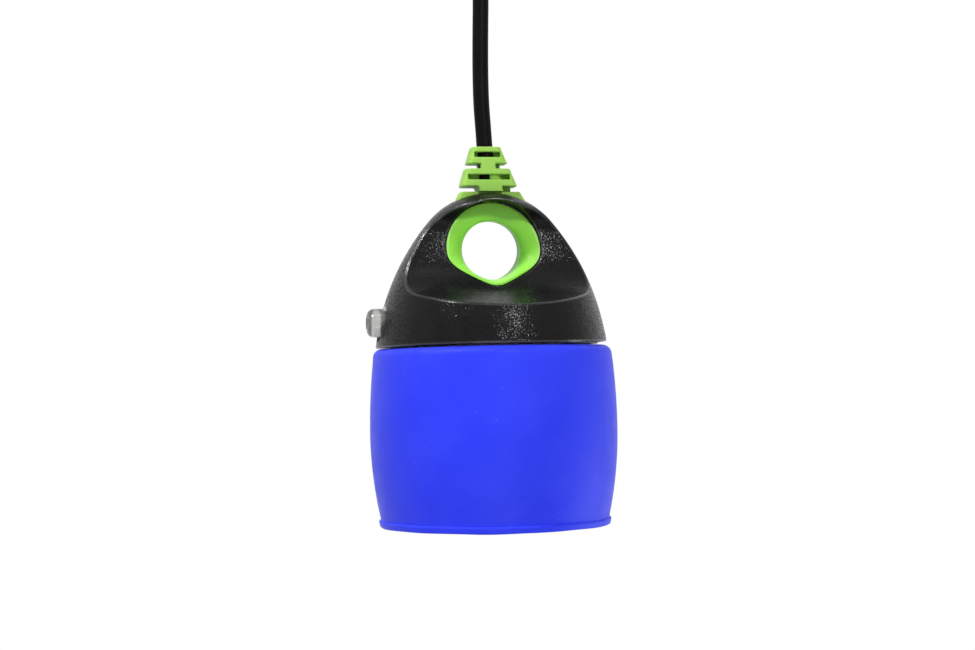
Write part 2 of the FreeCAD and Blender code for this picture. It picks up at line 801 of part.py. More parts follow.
for number, (x, y) in enumerate(boss_places):
    plate_holes.append(cylinder(f"plate_hole_{number}", S.screw_shank + S.pilot_gap, S.plate_thick + 2,
                                x, y, rim_z - 1))
    plate_holes.append(cylinder(f"plate_recess_{number}", S.screw_head + S.pilot_gap,
                                S.screw_head_height + 1, x, y, rim_z - 1))
for number, (x, y) in enumerate(post_places):
    plate_holes.append(cylinder(f"post_hole_{number}", S.small_shank, S.small_bite, x, y, driver_z - S.small_bite))
for number, (x, y) in enumerate(module_places):
    plate_holes.append(cylinder(f"module_hole_{number}", S.small_shank, S.small_bite, x, y, rim_z))
node("base_plate", cut("plate_cut", fuse("plate_solid", [plate_form] + posts), fuse("plate_tools", plate_holes)))


def screw(name, x, y, face_z, shank, head, head_height, length, up):
    """A pan-head screw whose head bears on face_z; its shank goes up, or down where up is False."""
    low = face_z - head_height if up else face_z
    shank_low = face_z if up else face_z - length
    return fuse(name, [cylinder(name + "_head", head, head_height, x, y, low),
                       cylinder(name + "_shank", shank, length, x, y, shank_low)])


head_face = rim_z + S.screw_head_height
node("housing_screws", group("housing_screw_group", [
    screw(f"housing_screw_{number}", x, y, head_face, S.screw_shank, S.screw_head, S.screw_head_height,
          S.screw_length, True) for number, (x, y) in enumerate(boss_places)]))

# Light module under the plate


def drilled(name, radius, thick, z, centre_hole):
    """A round plate with the module's screw holes and, where given, a hole in its middle."""
    holes = [cylinder(f"{name}_screw_{number}", S.small_shank, thick, x, y, z)
             for number, (x, y) in enumerate(module_places)]
    if centre_hole:
        holes.append(cylinder(f"{name}_middle", S.wire_hole, thick, 0, 0, z))
    return cut(name, cylinder(f"{name}_disc", radius, thick, 0, 0, z), fuse(f"{name}_holes", holes))


node("heat_spreader", drilled("spreader", module_radius, S.spreader_thick, spreader_end, True))
node("led_board", drilled("led_disc", board_radius, S.board_thick, board_end, False))
chip_ring = board_radius - S.chip_edge
chip_places = around(chip_ring, 8, 22.5) + around(chip_ring / 2, 4, 45.0)
node("led_chips", group("chip_group", [
    block(f"chip_{number}", (S.chip_side, S.chip_side, S.chip_height), place_at, board_end - S.chip_height)
    for number, place_at in enumerate(chip_places)]))
node("led_board_screws", group("module_screw_group", [
    screw(f"module_screw_{number}", x, y, board_end, S.small_shank, S.small_head, S.small_head_height,
          module_bite, True) for number, (x, y) in enumerate(module_places)]))
lead_half = 2 * S.wire_radius
node("led_leads", group("led_lead_group", [
    cylinder(f"led_lead_{number}", S.wire_radius, driver_z - spreader_end, side * lead_half, 0, spreader_end)
    for number, side in enumerate((-1, 1))]))


def draw_diffuser(sketch):
    top = neck_end + S.spigot_length
    bottom = neck_end - S.diffuser_drop
    floor = bottom + S.diffuser_wall
    outline = Outline(sketch, 0, bottom)
    outline.line(S.neck_radius - S.diffuser_round, bottom)
    outline.arc(S.neck_radius, bottom + S.diffuser_round, S.diffuser_round)
    outline.line(S.neck_radius, neck_end).line(spigot_outer, neck_end).line(spigot_outer, top)
    outline.line(spigot_inner, top).line(spigot_inner, floor).line(0, floor).close()


node("diffuser", turned("diffuser_cup", draw_diffuser))

# Driver board on its posts, with its parts
board_holes = fuse("driver_holes", [
    cylinder(f"driver_hole_{number}", S.small_shank, S.driver_thick, x, y, driver_z)
    for number, (x, y) in enumerate(post_places)])
driver_slab = block("driver_slab", (S.driver_length, S.driver_width, S.driver_thick), (S.driver_offset, 0),
                    driver_z)
node("driver_board", cut("driver_cut", driver_slab, board_holes))
node("board_screws", group("board_screw_group", [
    screw(f"board_screw_{number}", x, y, driver_top, S.small_shank, S.small_head, S.small_head_height,
          S.driver_thick + S.small_bite, False) for number, (x, y) in enumerate(post_places)]))
driver_right = S.driver_offset + S.driver_length / 4
node("inductor", cylinder("coil", S.inductor_radius, S.inductor_height, driver_right,
                          -S.inductor_radius - S.part_gap, driver_top))
node("capacitor", cylinder("can", S.capacitor_radius, S.capacitor_height, driver_right,
                           S.capacitor_radius + S.part_gap, driver_top))
node("driver_chip", block("chip_body", (S.chip_length, S.chip_width, S.chip_thick), (0, 0), driver_top))

# Side port: socket behind the boss, its pin and leaf, and two wires to the driver board
socket_front = S.port_face - S.plate_gap
socket_back = boss_inner - S.socket_length
pin_front = S.port_face - S.pin_setback
pin_tail = socket_back - S.tail_length
socket_body = block("socket_body", (S.socket_length, 2 * S.socket_half, 2 * S.socket_half),
                    (-boss_inner + S.socket_length / 2, 0), port_z - S.socket_half)
socket_nose = cylinder("socket_nose", S.port_neck - S.pilot_gap, socket_front - boss_inner + 1,
                       1 - boss_inner, 0, port_z, OUTWARD)
socket_bore = cylinder("socket_bore_cut", S.socket_bore, S.socket_depth + 1, S.socket_depth - socket_front, 0,
                       port_z, OUTWARD)
pin_rod = cylinder("pin_rod", S.pin_radius, pin_front - pin_tail, -pin_tail, 0, port_z, OUTWARD)
pin_hole = cylinder("pin_hole", S.pin_radius, pin_front - pin_tail, -pin_tail, 0, port_z, OUTWARD)
leaf_z = port_z + S.socket_bore + S.leaf_thick


def leaf(name):
    return block(name, (S.socket_length, S.leaf_width, S.leaf_thick),
                 (S.tail_length - socket_back - S.socket_length / 2, 0), leaf_z)


node("port_socket", cut("socket_cut", fuse("socket_solid", [socket_body, socket_nose]),
                        fuse("socket_tools", [socket_bore, pin_hole, leaf("leaf_pocket")])))
node("port_pin", pin_rod)
node("port_spring", leaf("leaf_strip"))
solder_z = driver_top.value + sheet.wire_radius
solder_x = sheet.driver_offset - sheet.driver_length / 2 + 3
tail_x = -pin_tail.value
leaf_end = sheet.tail_length - socket_back.value
leaf_middle = leaf_z.value + sheet.leaf_thick / 2
node("port_leads", group("port_lead_group", [
    tube("pin_wire", [(tail_x, 0, port_z.value), (tail_x + 1.5, 0, port_z.value), (tail_x + 3, 0, solder_z),
                      (solder_x, 0, solder_z)], sheet.wire_radius),
    tube("leaf_wire", [(leaf_end, 0, leaf_middle), (leaf_end + 1.4, 0, leaf_middle),
                       (leaf_end + 4, 3.6, solder_z), (solder_x, 4.4, solder_z)], sheet.wire_radius)]))


def draw_stopper(sketch):
    """Half section along X, the stem to the right and the head to the left."""
    face = -S.port_face - S.stopper_gap
    stem = S.socket_bore - S.stopper_gap
    hollow = S.pin_radius + S.stopper_gap
    collar = face - S.flange_thick
    head = collar - S.stopper_neck_length
    tip = head - S.head_length
    outline = Outline(sketch, face, 0)
    outline.line(face, hollow).line(face + S.stem_length, hollow).line(face + S.stem_length, stem)
    outline.line(face, stem).line(face, S.flange_radius).line(collar, S.flange_radius)
    outline.line(collar, S.stopper_neck).line(head, S.stopper_neck).line(head, S.head_radius)
    outline.line(tip + S.head_round, S.head_radius)
    outline.arc(tip, S.head_radius - S.head_round, S.head_round)
    outline.line(tip, S.head_dimple).line(tip + S.dimple_depth, S.head_dimple).line(tip + S.dimple_depth, 0)
    outline.close()


node("port_stopper", place(turned("stopper", draw_stopper, "H_Axis"), 0, 0, port_z))


def draw_shade(sketch):
    """Half section of the shade: flange, rounded shoulder, two belly arcs, bead at the mouth."""
    top = rim_z - S.shade_gap
    bottom = top - S.shade_height
    shoulder_z = top - S.shade_corner
    belly_z = -S.belly_drop
    bead_z = bottom + S.bead_height
    hole = S.neck_radius + S.shade_hole_gap

    def belly_arc(radius, z):
        """Radius of the arc that is upright at the belly and meets radius at z."""
        rise = z - belly_z
        swell = S.shade_belly - radius
        return (rise * rise + swell * swell) / (2 * swell)

    upper = belly_arc(S.shade_shoulder, shoulder_z)
    lower = belly_arc(S.shade_mouth, bead_z)
    rise, fall = shoulder_z - belly_z, bead_z - belly_z

    def inner(big, offset):
        inside = big - S.shade_wall
        return S.shade_belly - big + root(inside * inside - offset * offset)

    inner_corner = S.shade_corner - S.shade_wall
    inner_shoulder, inner_mouth = inner(upper, rise), inner(lower, fall)
    outline = Outline(sketch, hole, top)
    outline.line(hole, top - S.shade_wall).line(inner_shoulder - inner_corner, top - S.shade_wall)
    outline.arc(inner_shoulder, shoulder_z, inner_corner, -1)
    outline.arc(S.shade_belly - S.shade_wall, belly_z, upper - S.shade_wall, -1)
    outline.arc(inner_mouth, bead_z, lower - S.shade_wall, -1)
    outline.line(inner_mouth, bottom).line(S.bead_radius - S.bead_round, bottom)
    outline.arc(S.bead_radius, bottom + S.bead_round, S.bead_round)
    outline.line(S.bead_radius, bead_z - S.bead_slope).line(S.shade_mouth, bead_z)
    outline.arc(S.shade_belly, belly_z, lower)
    outline.arc(S.shade_shoulder, shoulder_z, upper)
    outline.arc(S.shade_shoulder - S.shade_corner, top, S.shade_corner)
    outline.close()


node("shade", turned("shade_form", draw_shade))

# Free cord, drawn straight by the weight of the light, and the plug on its far end
plug_x = -sheet.plug_shift
node("cord", tube("cord_free", [
    (0, 0, sheet.boot_top), (0, 0, 38.0), (-1.9, 0, 52.0), (-2.05, 0, 64.0), (plug_x, 0, 78.0),
    (plug_x, 0, sheet.plug_start)], sheet.cord_radius))
relief_end = S.plug_start + S.relief_length
body_end = relief_end + S.plug_length
barrel_end = body_end + S.barrel_length


def draw_relief(sketch):
    outline = Outline(sketch, 0, S.plug_start)
    outline.line(S.relief_tip, S.plug_start).line(S.relief_root, relief_end).line(0, relief_end).close()


def draw_plug(sketch):
    outline = Outline(sketch, 0, relief_end)
    outline.line(S.plug_radius - S.plug_round, relief_end)
    outline.arc(S.plug_radius, relief_end + S.plug_round, S.plug_round)
    outline.line(S.plug_radius, body_end - S.plug_round)
    outline.arc(S.plug_radius - S.plug_round, body_end, S.plug_round)
    outline.line(0, body_end).close()


def ring(name, outer, inner, height, z):
    """An upright tube on the plug's axis."""
    return cut(name, cylinder(name + "_outside", outer, height, -S.plug_shift, 0, z),
               cylinder(name + "_inside", inner, height, -S.plug_shift, 0, z))


relief_cone = turned("relief_cone", draw_relief)
plug_form = turned("plug_form", draw_plug)
relief_slits = []
RELIEF_SLITS = 3
for step in range(RELIEF_SLITS):
    z = S.plug_start + S.relief_length * (step + 1) / (RELIEF_SLITS + 1)
    gap = block(f"relief_slit_{step}", (4 * S.relief_root, 4 * S.relief_root, S.relief_gap), (0, 0),
                z - S.relief_gap / 2)
    core = cylinder(f"relief_core_{step}", S.cord_radius + S.relief_skin, S.relief_gap, 0, 0, z - S.relief_gap / 2)
    relief_slits.append(cut(f"relief_gap_{step}", gap, core))
node("plug_relief", place(cut("relief_cut", relief_cone, fuse("relief_tools", relief_slits)), -S.plug_shift))
node("plug_body", place(plug_form, -S.plug_shift))
sleeve_inner = S.barrel_radius - S.barrel_wall
contact_outer = S.barrel_bore + S.contact_wall
node("plug_sleeve", ring("barrel_sleeve", S.barrel_radius, sleeve_inner, S.barrel_length, body_end))
node("plug_insulator", ring("barrel_insulator", sleeve_inner, contact_outer,
                             S.barrel_length - S.barrel_step, body_end))
node("plug_contact", ring("barrel_contact", contact_outer, S.barrel_bore,
                          S.barrel_length - 2 * S.barrel_step, body_end))

doc.recompute()
for thing in doc.Objects:
    if {"Invalid", "Error"} & set(thing.State):
        raise SystemExit(f"{thing.Name} failed: {thing.State}")
for label, thing in parts.items():
    if thing.Shape.isNull() or not thing.Shape.isValid() or not thing.Shape.Solids:
        raise SystemExit(f"{label} has no valid solid")

os.makedirs("parts", exist_ok=True)
for label, thing in parts.items():
    thing.Shape.exportStep(f"parts/{label}.step")
    box = thing.Shape.optimalBoundingBox()
    print(f"{label}: {len(thing.Shape.Solids)} solids, {thing.Shape.Volume:.1f} mm3, "
          f"x {box.XMin:.2f} {box.XMax:.2f}, y {box.YMin:.2f} {box.YMax:.2f}, z {box.ZMin:.2f} {box.ZMax:.2f}")
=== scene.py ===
"""Looks of a small hanging camp light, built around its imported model.

Lengths are in metres, or in millimetres where a name or docstring says so, in the frame of the
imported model: +Z up, the hang ring's centre at the origin, the front towards -Y and the side port
towards -X.
"""

from __future__ import annotations

import json
import logging
import math
from collections.abc import Callable, Iterable
from dataclasses import dataclass, field
from enum import Enum

import bmesh
import bpy
from mathutils import Matrix, Vector, noise

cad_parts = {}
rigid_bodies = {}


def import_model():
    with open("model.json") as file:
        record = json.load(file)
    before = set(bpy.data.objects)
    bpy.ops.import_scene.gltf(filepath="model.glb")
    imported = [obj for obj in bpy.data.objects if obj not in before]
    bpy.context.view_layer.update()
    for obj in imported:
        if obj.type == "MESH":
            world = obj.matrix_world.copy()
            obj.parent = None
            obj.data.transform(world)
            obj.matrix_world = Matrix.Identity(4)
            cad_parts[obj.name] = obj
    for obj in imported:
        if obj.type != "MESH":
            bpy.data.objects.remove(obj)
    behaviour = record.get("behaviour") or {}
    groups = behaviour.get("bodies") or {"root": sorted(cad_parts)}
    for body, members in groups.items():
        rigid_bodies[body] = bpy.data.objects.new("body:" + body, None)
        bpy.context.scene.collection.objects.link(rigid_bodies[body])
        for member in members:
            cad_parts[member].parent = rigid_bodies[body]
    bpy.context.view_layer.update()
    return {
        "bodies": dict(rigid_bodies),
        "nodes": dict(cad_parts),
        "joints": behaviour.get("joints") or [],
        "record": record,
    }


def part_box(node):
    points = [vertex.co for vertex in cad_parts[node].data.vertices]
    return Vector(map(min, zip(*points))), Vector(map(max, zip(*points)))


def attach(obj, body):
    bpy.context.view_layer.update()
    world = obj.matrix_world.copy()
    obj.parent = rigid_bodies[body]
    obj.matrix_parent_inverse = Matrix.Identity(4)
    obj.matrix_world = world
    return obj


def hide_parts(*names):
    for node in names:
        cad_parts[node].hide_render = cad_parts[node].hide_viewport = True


LOG = logging.getLogger("camp_light")
MM = 0.001

# A noise texture keeps mostly between these two values
NOISE_LOW = 0.35
NOISE_HIGH = 0.65
GRAIN_DETAIL = 2.0
LINE_DETAIL = 4.0
MIDDLE_OF_COLOURS = (0.5, 0.5, 0.5)
WHITE = (1.0, 1.0, 1.0, 1.0)

# The colour inputs and the colour output of a Mix node, by number
MIX_FIRST = 6
MIX_SECOND = 7
MIXED = 2

Tree = bpy.types.NodeTree
Node = bpy.types.Node
Socket = bpy.types.NodeSocket
Material = bpy.types.Material
Piece = bpy.types.Object
Point = tuple[float, float]
Place = tuple[float, float, float]
Wave = tuple[float, int, float]


# Materials


def linear(hex_colour: str) -> tuple[float, float, float, float]:
    """Turns an sRGB hex colour to linear values.

    Args:
        hex_colour: Six hex digits after a hash sign.

    Returns:
        Red, green, blue and an alpha of 1.
    """
    channels = [int(hex_colour[start : start + 2], 16) / 255 for start in (1, 3, 5)]
    turned = [c / 12.92 if c <= 0.04045 else ((c + 0.055) / 1.055) ** 2.4 for c in channels]
    return (turned[0], turned[1], turned[2], 1.0)


def per_metre(size_mm: float) -> float:
    """Gives the texture scale at which one feature is size_mm across."""
    return 1 / (size_mm * MM)


def add(tree: Tree, kind: str, settings: dict | None = None, links: dict | None = None) -> Node:
    """Adds one node with its settings and links.

    Args:
        tree: The node tree.
        kind: The node's type name.
        settings: Values by property name, or by input name or number.
        links: Output sockets by the name or number of the input that takes them.

    Returns:
        The new node.
    """
    node = tree.nodes.new(kind)
    for key, value in (settings or {}).items():
        if isinstance(key, str) and hasattr(node, key):
            setattr(node, key, value)
        else:
            node.inputs[key].default_value = value
    for key, socket in (links or {}).items():
        tree.links.new(socket, node.inputs[key])
    return node


@dataclass(frozen=True)
class Finish:
    """What every finish has: its name, its two close tones and how its surface scatters light."""

    name: str
    colour: str
    roughness: float = 0.45
    ior: float = 1.5
    second: str = ""

    def shader_settings(self) -> dict:
        """Gives the shader's own values, which hold all over the surface."""
        return {"Base Color": linear(self.colour), "Roughness": self.roughness, "IOR": self.ior}

    def dress(self, tree: Tree, shader: Node, place: Socket) -> None:
        """Adds the pattern of this finish.

        Args:
            tree: The material's node tree.
            shader: Its shader node.
            place: Object coordinates, in metres.
        """

    def build(self) -> Material:
        """Makes the material.

        Returns:
            The new material.
        """
        material = bpy.data.materials.new(self.name)
        material.use_nodes = True
        tree = material.node_tree
        tree.nodes.clear()
        shader = add(tree, "ShaderNodeBsdfPrincipled", self.shader_settings())
        add(tree, "ShaderNodeOutputMaterial", links={"Surface": shader.outputs[0]})
        place = add(tree, "ShaderNodeTexCoord").outputs["Object"]
        self.dress(tree, shader, place)
        material.diffuse_color = linear(self.colour)
        return material

    def noise_of(self, tree: Tree, place: Socket, size_mm: float, detail: float = 3.0) -> Socket:
        """Gives a noise whose features are size_mm across."""
        settings = {"Scale": per_metre(size_mm), "Detail": detail}
        return add(tree, "ShaderNodeTexNoise", settings, {"Vector": place}).outputs[0]

    def spread(self, tree: Tree, value: Socket, low: float, high: float) -> Socket:
        """Maps a noise to the range from low to high."""
        settings = {"From Min": NOISE_LOW, "From Max": NOISE_HIGH, "To Min": low, "To Max": high}
        return add(tree, "ShaderNodeMapRange", settings, {"Value": value}).outputs[0]

    def mottled(self, tree: Tree, place: Socket, size_mm: float) -> Socket:
        """Clouds the two tones into each other.

        Args:
            tree: The material's node tree.
            place: Object coordinates, in metres.
            size_mm: How large the patches are.

        Returns:
            The colour.
        """
        share = self.spread(tree, self.noise_of(tree, place, size_mm), 0.0, 1.0)
        second = linear(self.second or self.colour)
        tones = {"data_type": "RGBA", MIX_FIRST: linear(self.colour), MIX_SECOND: second}
        return add(tree, "ShaderNodeMix", tones, {0: share}).outputs[MIXED]

    def relief(self, tree: Tree, shader: Node, height: Socket, depth_mm: float) -> None:
        """Gives the surface a relief depth_mm deep."""
        bump = add(tree, "ShaderNodeBump", {"Distance": depth_mm * MM}, {"Height": height})
        tree.links.new(bump.outputs[0], shader.inputs["Normal"])


@dataclass(frozen=True)
class MouldedPlastic(Finish):
    """Injection-moulded plastic: even colour, faint flow mottling and a fine satin grain."""

    grain_mm: float = 0.4
    grain_depth_mm: float = 0.012
    mottle_mm: float = 9.0
    gloss_patches: int = 4
    gloss_swing: float = 0.05
    specular: float = 0.5

    def shader_settings(self) -> dict:
        """Adds how much the skin reflects."""
        return super().shader_settings() | {"Specular IOR Level": self.specular}

    def dress(self, tree: Tree, shader: Node, place: Socket) -> None:
        """Adds mottling to the colour, a swing to the gloss and the grain's bump.

        Args:
            tree: The material's node tree.
            shader: Its shader node.
            place: Object coordinates, in metres.
        """
        tree.links.new(self.mottled(tree, place, self.mottle_mm), shader.inputs["Base Color"])
        gloss = self.noise_of(tree, place, self.mottle_mm / self.gloss_patches)
        swing = self.gloss_swing
        rough = self.spread(tree, gloss, self.roughness - swing, self.roughness + swing)
        tree.links.new(rough, shader.inputs["Roughness"])
        grain = self.noise_of(tree, place, self.grain_mm, GRAIN_DETAIL)
        self.relief(tree, shader, grain, self.grain_depth_mm)


@dataclass(frozen=True)
class SparkErodedPlastic(Finish):
    """Black ABS from a spark-eroded mould, with glittering beads and shiny rubbed edges.

    The real beads are finer; they are drawn coarser here so that they show.
    """

    specular: float = 0.105
    mottle_mm: float = 6.0
    bead_mm: float = 0.18
    bead_lean: float = 0.5
    matt: float = 0.7
    matt_share: float = 0.3
    matt_blend: float = 0.1
    edge_mm: float = 0.85
    edge_specular: float = 1.0
    edge_roughness: float = 0.23
    edge_from: float = 0.998
    edge_full: float = 0.97
    bow: float = 0.2
    bow_from_mm: float = 16.5
    bow_to_mm: float = 28.0

    def shader_settings(self) -> dict:
        """Adds the low gloss of carbon black near the surface."""
        return super().shader_settings() | {"Specular IOR Level": self.specular}

    def dress(self, tree: Tree, shader: Node, place: Socket) -> None:
        """Adds mottling to the colour, gloss to the edges, and beads that each lean their own way.

        Args:
            tree: The material's node tree.
            shader: Its shader node.
            place: Object coordinates, in metres.
        """
        tree.links.new(self.mottled(tree, place, self.mottle_mm), shader.inputs["Base Color"])
        beads = add(tree, "ShaderNodeTexVoronoi", {"Scale": per_metre(self.bead_mm)}, {"Vector": place})
        rounded = add(tree, "ShaderNodeBevel", {"Radius": self.edge_mm * MM}).outputs[0]
        rub = self.rub_of(tree, rounded)
        bead_rough = self.bead_roughness(tree, beads.outputs["Position"])
        for name, usual, rubbed in (
            ("Roughness", bead_rough, self.edge_roughness),
            ("Specular IOR Level", self.specular, self.edge_specular),
        ):
            tree.links.new(self.rubbed_to(tree, rub, usual, rubbed), shader.inputs[name])
        normal = rounded
        for change in (self.lean_of(tree, beads.outputs["Color"], rub), self.bow_of(tree, place)):
            leant = add(tree, "ShaderNodeVectorMath", {"operation": "ADD"}, {0: normal, 1: change})
            normal = leant.outputs[0]
        unit = add(tree, "ShaderNodeVectorMath", {"operation": "NORMALIZE"}, {0: normal})
        tree.links.new(unit.outputs[0], shader.inputs["Normal"])

    def bead_roughness(self, tree: Tree, bead: Socket) -> Socket:
        """Makes each bead glossy or matt.

        Args:
            tree: The material's node tree.
            bead: The middle of the bead.

        Returns:
            The roughness.
        """
        luck = add(tree, "ShaderNodeTexWhiteNoise", links={"Vector": bead}).outputs["Value"]
        settings = {
            "From Min": self.matt_share,
            "From Max": self.matt_share + self.matt_blend,
            "To Min": self.matt,
            "To Max": self.roughness,
        }
        return add(tree, "ShaderNodeMapRange", settings, {"Value": luck}).outputs[0]

    def rub_of(self, tree: Tree, rounded: Socket) -> Socket:
        """Finds the edges, where the rounded normal leaves the face's own.

        Args:
            tree: The material's node tree.
            rounded: The normal of the surface with its edges rounded.

        Returns:
            1 at an edge and 0 elsewhere.
        """
        plain = add(tree, "ShaderNodeNewGeometry").outputs["Normal"]
        dot = {"operation": "DOT_PRODUCT"}
        likeness = add(tree, "ShaderNodeVectorMath", dot, {0: rounded, 1: plain}).outputs["Value"]
        limits = {"From Min": self.edge_from, "From Max": self.edge_full}
        return add(tree, "ShaderNodeMapRange", limits, {"Value": likeness}).outputs[0]

    def rubbed_to(self, tree: Tree, rub: Socket, usual: Socket | float, rubbed: float) -> Socket:
        """Goes from a usual value to the one of a rubbed edge.

        Args:
            tree: The material's node tree.
            rub: 1 at an edge and 0 elsewhere.
            usual: The value away from edges.
            rubbed: The value at an edge.

        Returns:
            The value in between.
        """
        settings = {"To Max": rubbed}
        links = {"Value": rub}
        if isinstance(usual, float):
            settings["To Min"] = usual
        else:
            links["To Min"] = usual
        return add(tree, "ShaderNodeMapRange", settings, links).outputs[0]

    def lean_of(self, tree: Tree, colour: Socket, rub: Socket) -> Socket:
        """Turns a bead's own colour into its lean: most little, a few much, none at a rubbed edge.

        Args:
            tree: The material's node tree.
            colour: The bead's own colour.
            rub: 1 at an edge and 0 elsewhere.

        Returns:
            The change of the normal.
        """
        halved = {"operation": "SUBTRACT", 1: MIDDLE_OF_COLOURS}
        way = add(tree, "ShaderNodeVectorMath", halved, {0: colour}).outputs[0]
        length = add(tree, "ShaderNodeVectorMath", {"operation": "LENGTH"}, {0: way}).outputs["Value"]
        most = self.rubbed_to(tree, rub, self.bead_lean, 0.0)
        amount = add(tree, "ShaderNodeMath", {"operation": "MULTIPLY"}, {0: length, 1: most}).outputs[0]
        lean = add(tree, "ShaderNodeVectorMath", {"operation": "SCALE"}, {0: way, "Scale": amount})
        return lean.outputs[0]

    def bow_of(self, tree: Tree, place: Socket) -> Socket:
        """Gives the slight outward turn of the moulding towards its two sides.

        Args:
            tree: The material's node tree.
            place: Object coordinates, in metres.

        Returns:
            The change of the normal.
        """
        across = add(tree, "ShaderNodeSeparateXYZ", links={0: place}).outputs["X"]
        size = add(tree, "ShaderNodeMath", {"operation": "ABSOLUTE"}, {0: across}).outputs[0]
        side = add(tree, "ShaderNodeMath", {"operation": "SIGN"}, {0: across}).outputs[0]
        limits = {"From Min": self.bow_from_mm * MM, "From Max": self.bow_to_mm * MM, "To Max": self.bow}
        share = add(tree, "ShaderNodeMapRange", limits, {"Value": size}).outputs[0]
        outwards = add(tree, "ShaderNodeMath", {"operation": "MULTIPLY"}, {0: share, 1: side}).outputs[0]
        return add(tree, "ShaderNodeCombineXYZ", links={"X": outwards}).outputs[0]


@dataclass(frozen=True)
class Elastomer(Finish):
    """Moulded rubber, silicone or soft plastic: light sinks in a little, and fine dust gives it a sheen."""

    sink: float = 0.1
    sink_mm: float = 1.0
    sheen: float = 0.15
    sheen_roughness: float = 0.5
    specular: float = 0.3
    mottle_mm: float = 14.0
    gloss_patches: int = 3
    glossier: float = 0.04
    duller: float = 0.05
    grain_mm: float = 0.5
    grain_depth_mm: float = 0.01
    lint: str = ""
    lint_mm: float = 3.5
    lint_share: float = 0.06
    lint_strength: float = 0.45

    def shader_settings(self) -> dict:
        """Adds the depth to which light sinks in and the sheen.

        Returns:
            The shader's values by the names of its inputs.
        """
        radius = [self.sink_mm * MM * channel for channel in linear(self.colour)[:3]]
        return super().shader_settings() | {
            "Subsurface Weight": self.sink,
            "Subsurface Radius": radius,
            "Subsurface Scale": 1.0,
            "Specular IOR Level": self.specular,
            "Sheen Weight": self.sheen,
            "Sheen Roughness": self.sheen_roughness,
        }

    def dress(self, tree: Tree, shader: Node, place: Socket) -> None:
        """Adds clouding, specks of lint where the finish has them, and the grain's bump.

        Args:
            tree: The material's node tree.
            shader: Its shader node.
            place: Object coordinates, in metres.
        """
        colour = self.mottled(tree, place, self.mottle_mm)
        if self.lint:
            colour = self.linted(tree, place, colour)
        tree.links.new(colour, shader.inputs["Base Color"])
        cloud = self.noise_of(tree, place, self.mottle_mm / self.gloss_patches)
        rough = self.spread(tree, cloud, self.roughness - self.glossier, self.roughness + self.duller)
        tree.links.new(rough, shader.inputs["Roughness"])
        grain = self.noise_of(tree, place, self.grain_mm, GRAIN_DETAIL)
        self.relief(tree, shader, grain, self.grain_depth_mm)

    def linted(self, tree: Tree, place: Socket, colour: Socket) -> Socket:
        """Puts a speck of lint every few millimetres.

        Args:
            tree: The material's node tree.
            place: Object coordinates, in metres.
            colour: The colour without lint.

        Returns:
            The colour with lint.
        """
        specks = add(tree, "ShaderNodeTexVoronoi", {"Scale": per_metre(self.lint_mm)}, {"Vector": place})
        limits = {"From Min": self.lint_share, "From Max": 0.0, "To Max": self.lint_strength}
        near = add(tree, "ShaderNodeMapRange", limits, {"Value": specks.outputs["Distance"]}).outputs[0]
        tones = {"data_type": "RGBA", MIX_SECOND: linear(self.lint)}
        return add(tree, "ShaderNodeMix", tones, {0: near, MIX_FIRST: colour}).outputs[MIXED]


@dataclass(frozen=True)
class ClearMoulding(Finish):
    """Clear or frosted moulding: light passes through, scattered by a rough skin and faint streaks."""

    passes: float = 1.0
    streak_mm: float = 2.0
    streak_depth_mm: float = 0.02
    gloss_swing: float = 0.06
    smoothest: float = 0.02

    def shader_settings(self) -> dict:
        """Adds how much light passes through."""
        return super().shader_settings() | {"Transmission Weight": self.passes}

    def dress(self, tree: Tree, shader: Node, place: Socket) -> None:
        """Adds soft streaks to the surface and its roughness.

        Args:
            tree: The material's node tree.
            shader: Its shader node.
            place: Object coordinates, in metres.
        """
        streak = self.noise_of(tree, place, self.streak_mm)
        low = max(self.roughness - self.gloss_swing, self.smoothest)
        rough = self.spread(tree, streak, low, self.roughness + self.gloss_swing)
        tree.links.new(rough, shader.inputs["Roughness"])
        self.relief(tree, shader, streak, self.streak_depth_mm)


@dataclass(frozen=True)
class SheetMetal(Finish):
    """Rolled, turned or plated metal: fine lines along one way and small changes of gloss.

    A line is line_mm long, and stretch says how many times finer it is each way.
    """

    line_mm: float = 2.0
    line_depth_mm: float = 0.004
    stretch: Place = (1.0, 12.0, 12.0)
    tarnish_mm: float = 3.0
    gloss_swing: float = 0.08
    smoothest: float = 0.05

    def shader_settings(self) -> dict:
        """Makes the surface a metal, which keeps the default index of refraction."""
        return {"Base Color": linear(self.colour), "Roughness": self.roughness, "Metallic": 1.0}

    def dress(self, tree: Tree, shader: Node, place: Socket) -> None:
        """Adds the lines and tarnish between two tones.

        Args:
            tree: The material's node tree.
            shader: Its shader node.
            place: Object coordinates, in metres.
        """
        squeezed = add(tree, "ShaderNodeMapping", {"Scale": self.stretch}, {"Vector": place}).outputs[0]
        lines = self.noise_of(tree, squeezed, self.line_mm, LINE_DETAIL)
        tree.links.new(self.mottled(tree, place, self.tarnish_mm), shader.inputs["Base Color"])
        low = max(self.roughness - self.gloss_swing, self.smoothest)
        rough = self.spread(tree, lines, low, self.roughness + self.gloss_swing)
        tree.links.new(rough, shader.inputs["Roughness"])
        self.relief(tree, shader, lines, self.line_depth_mm)


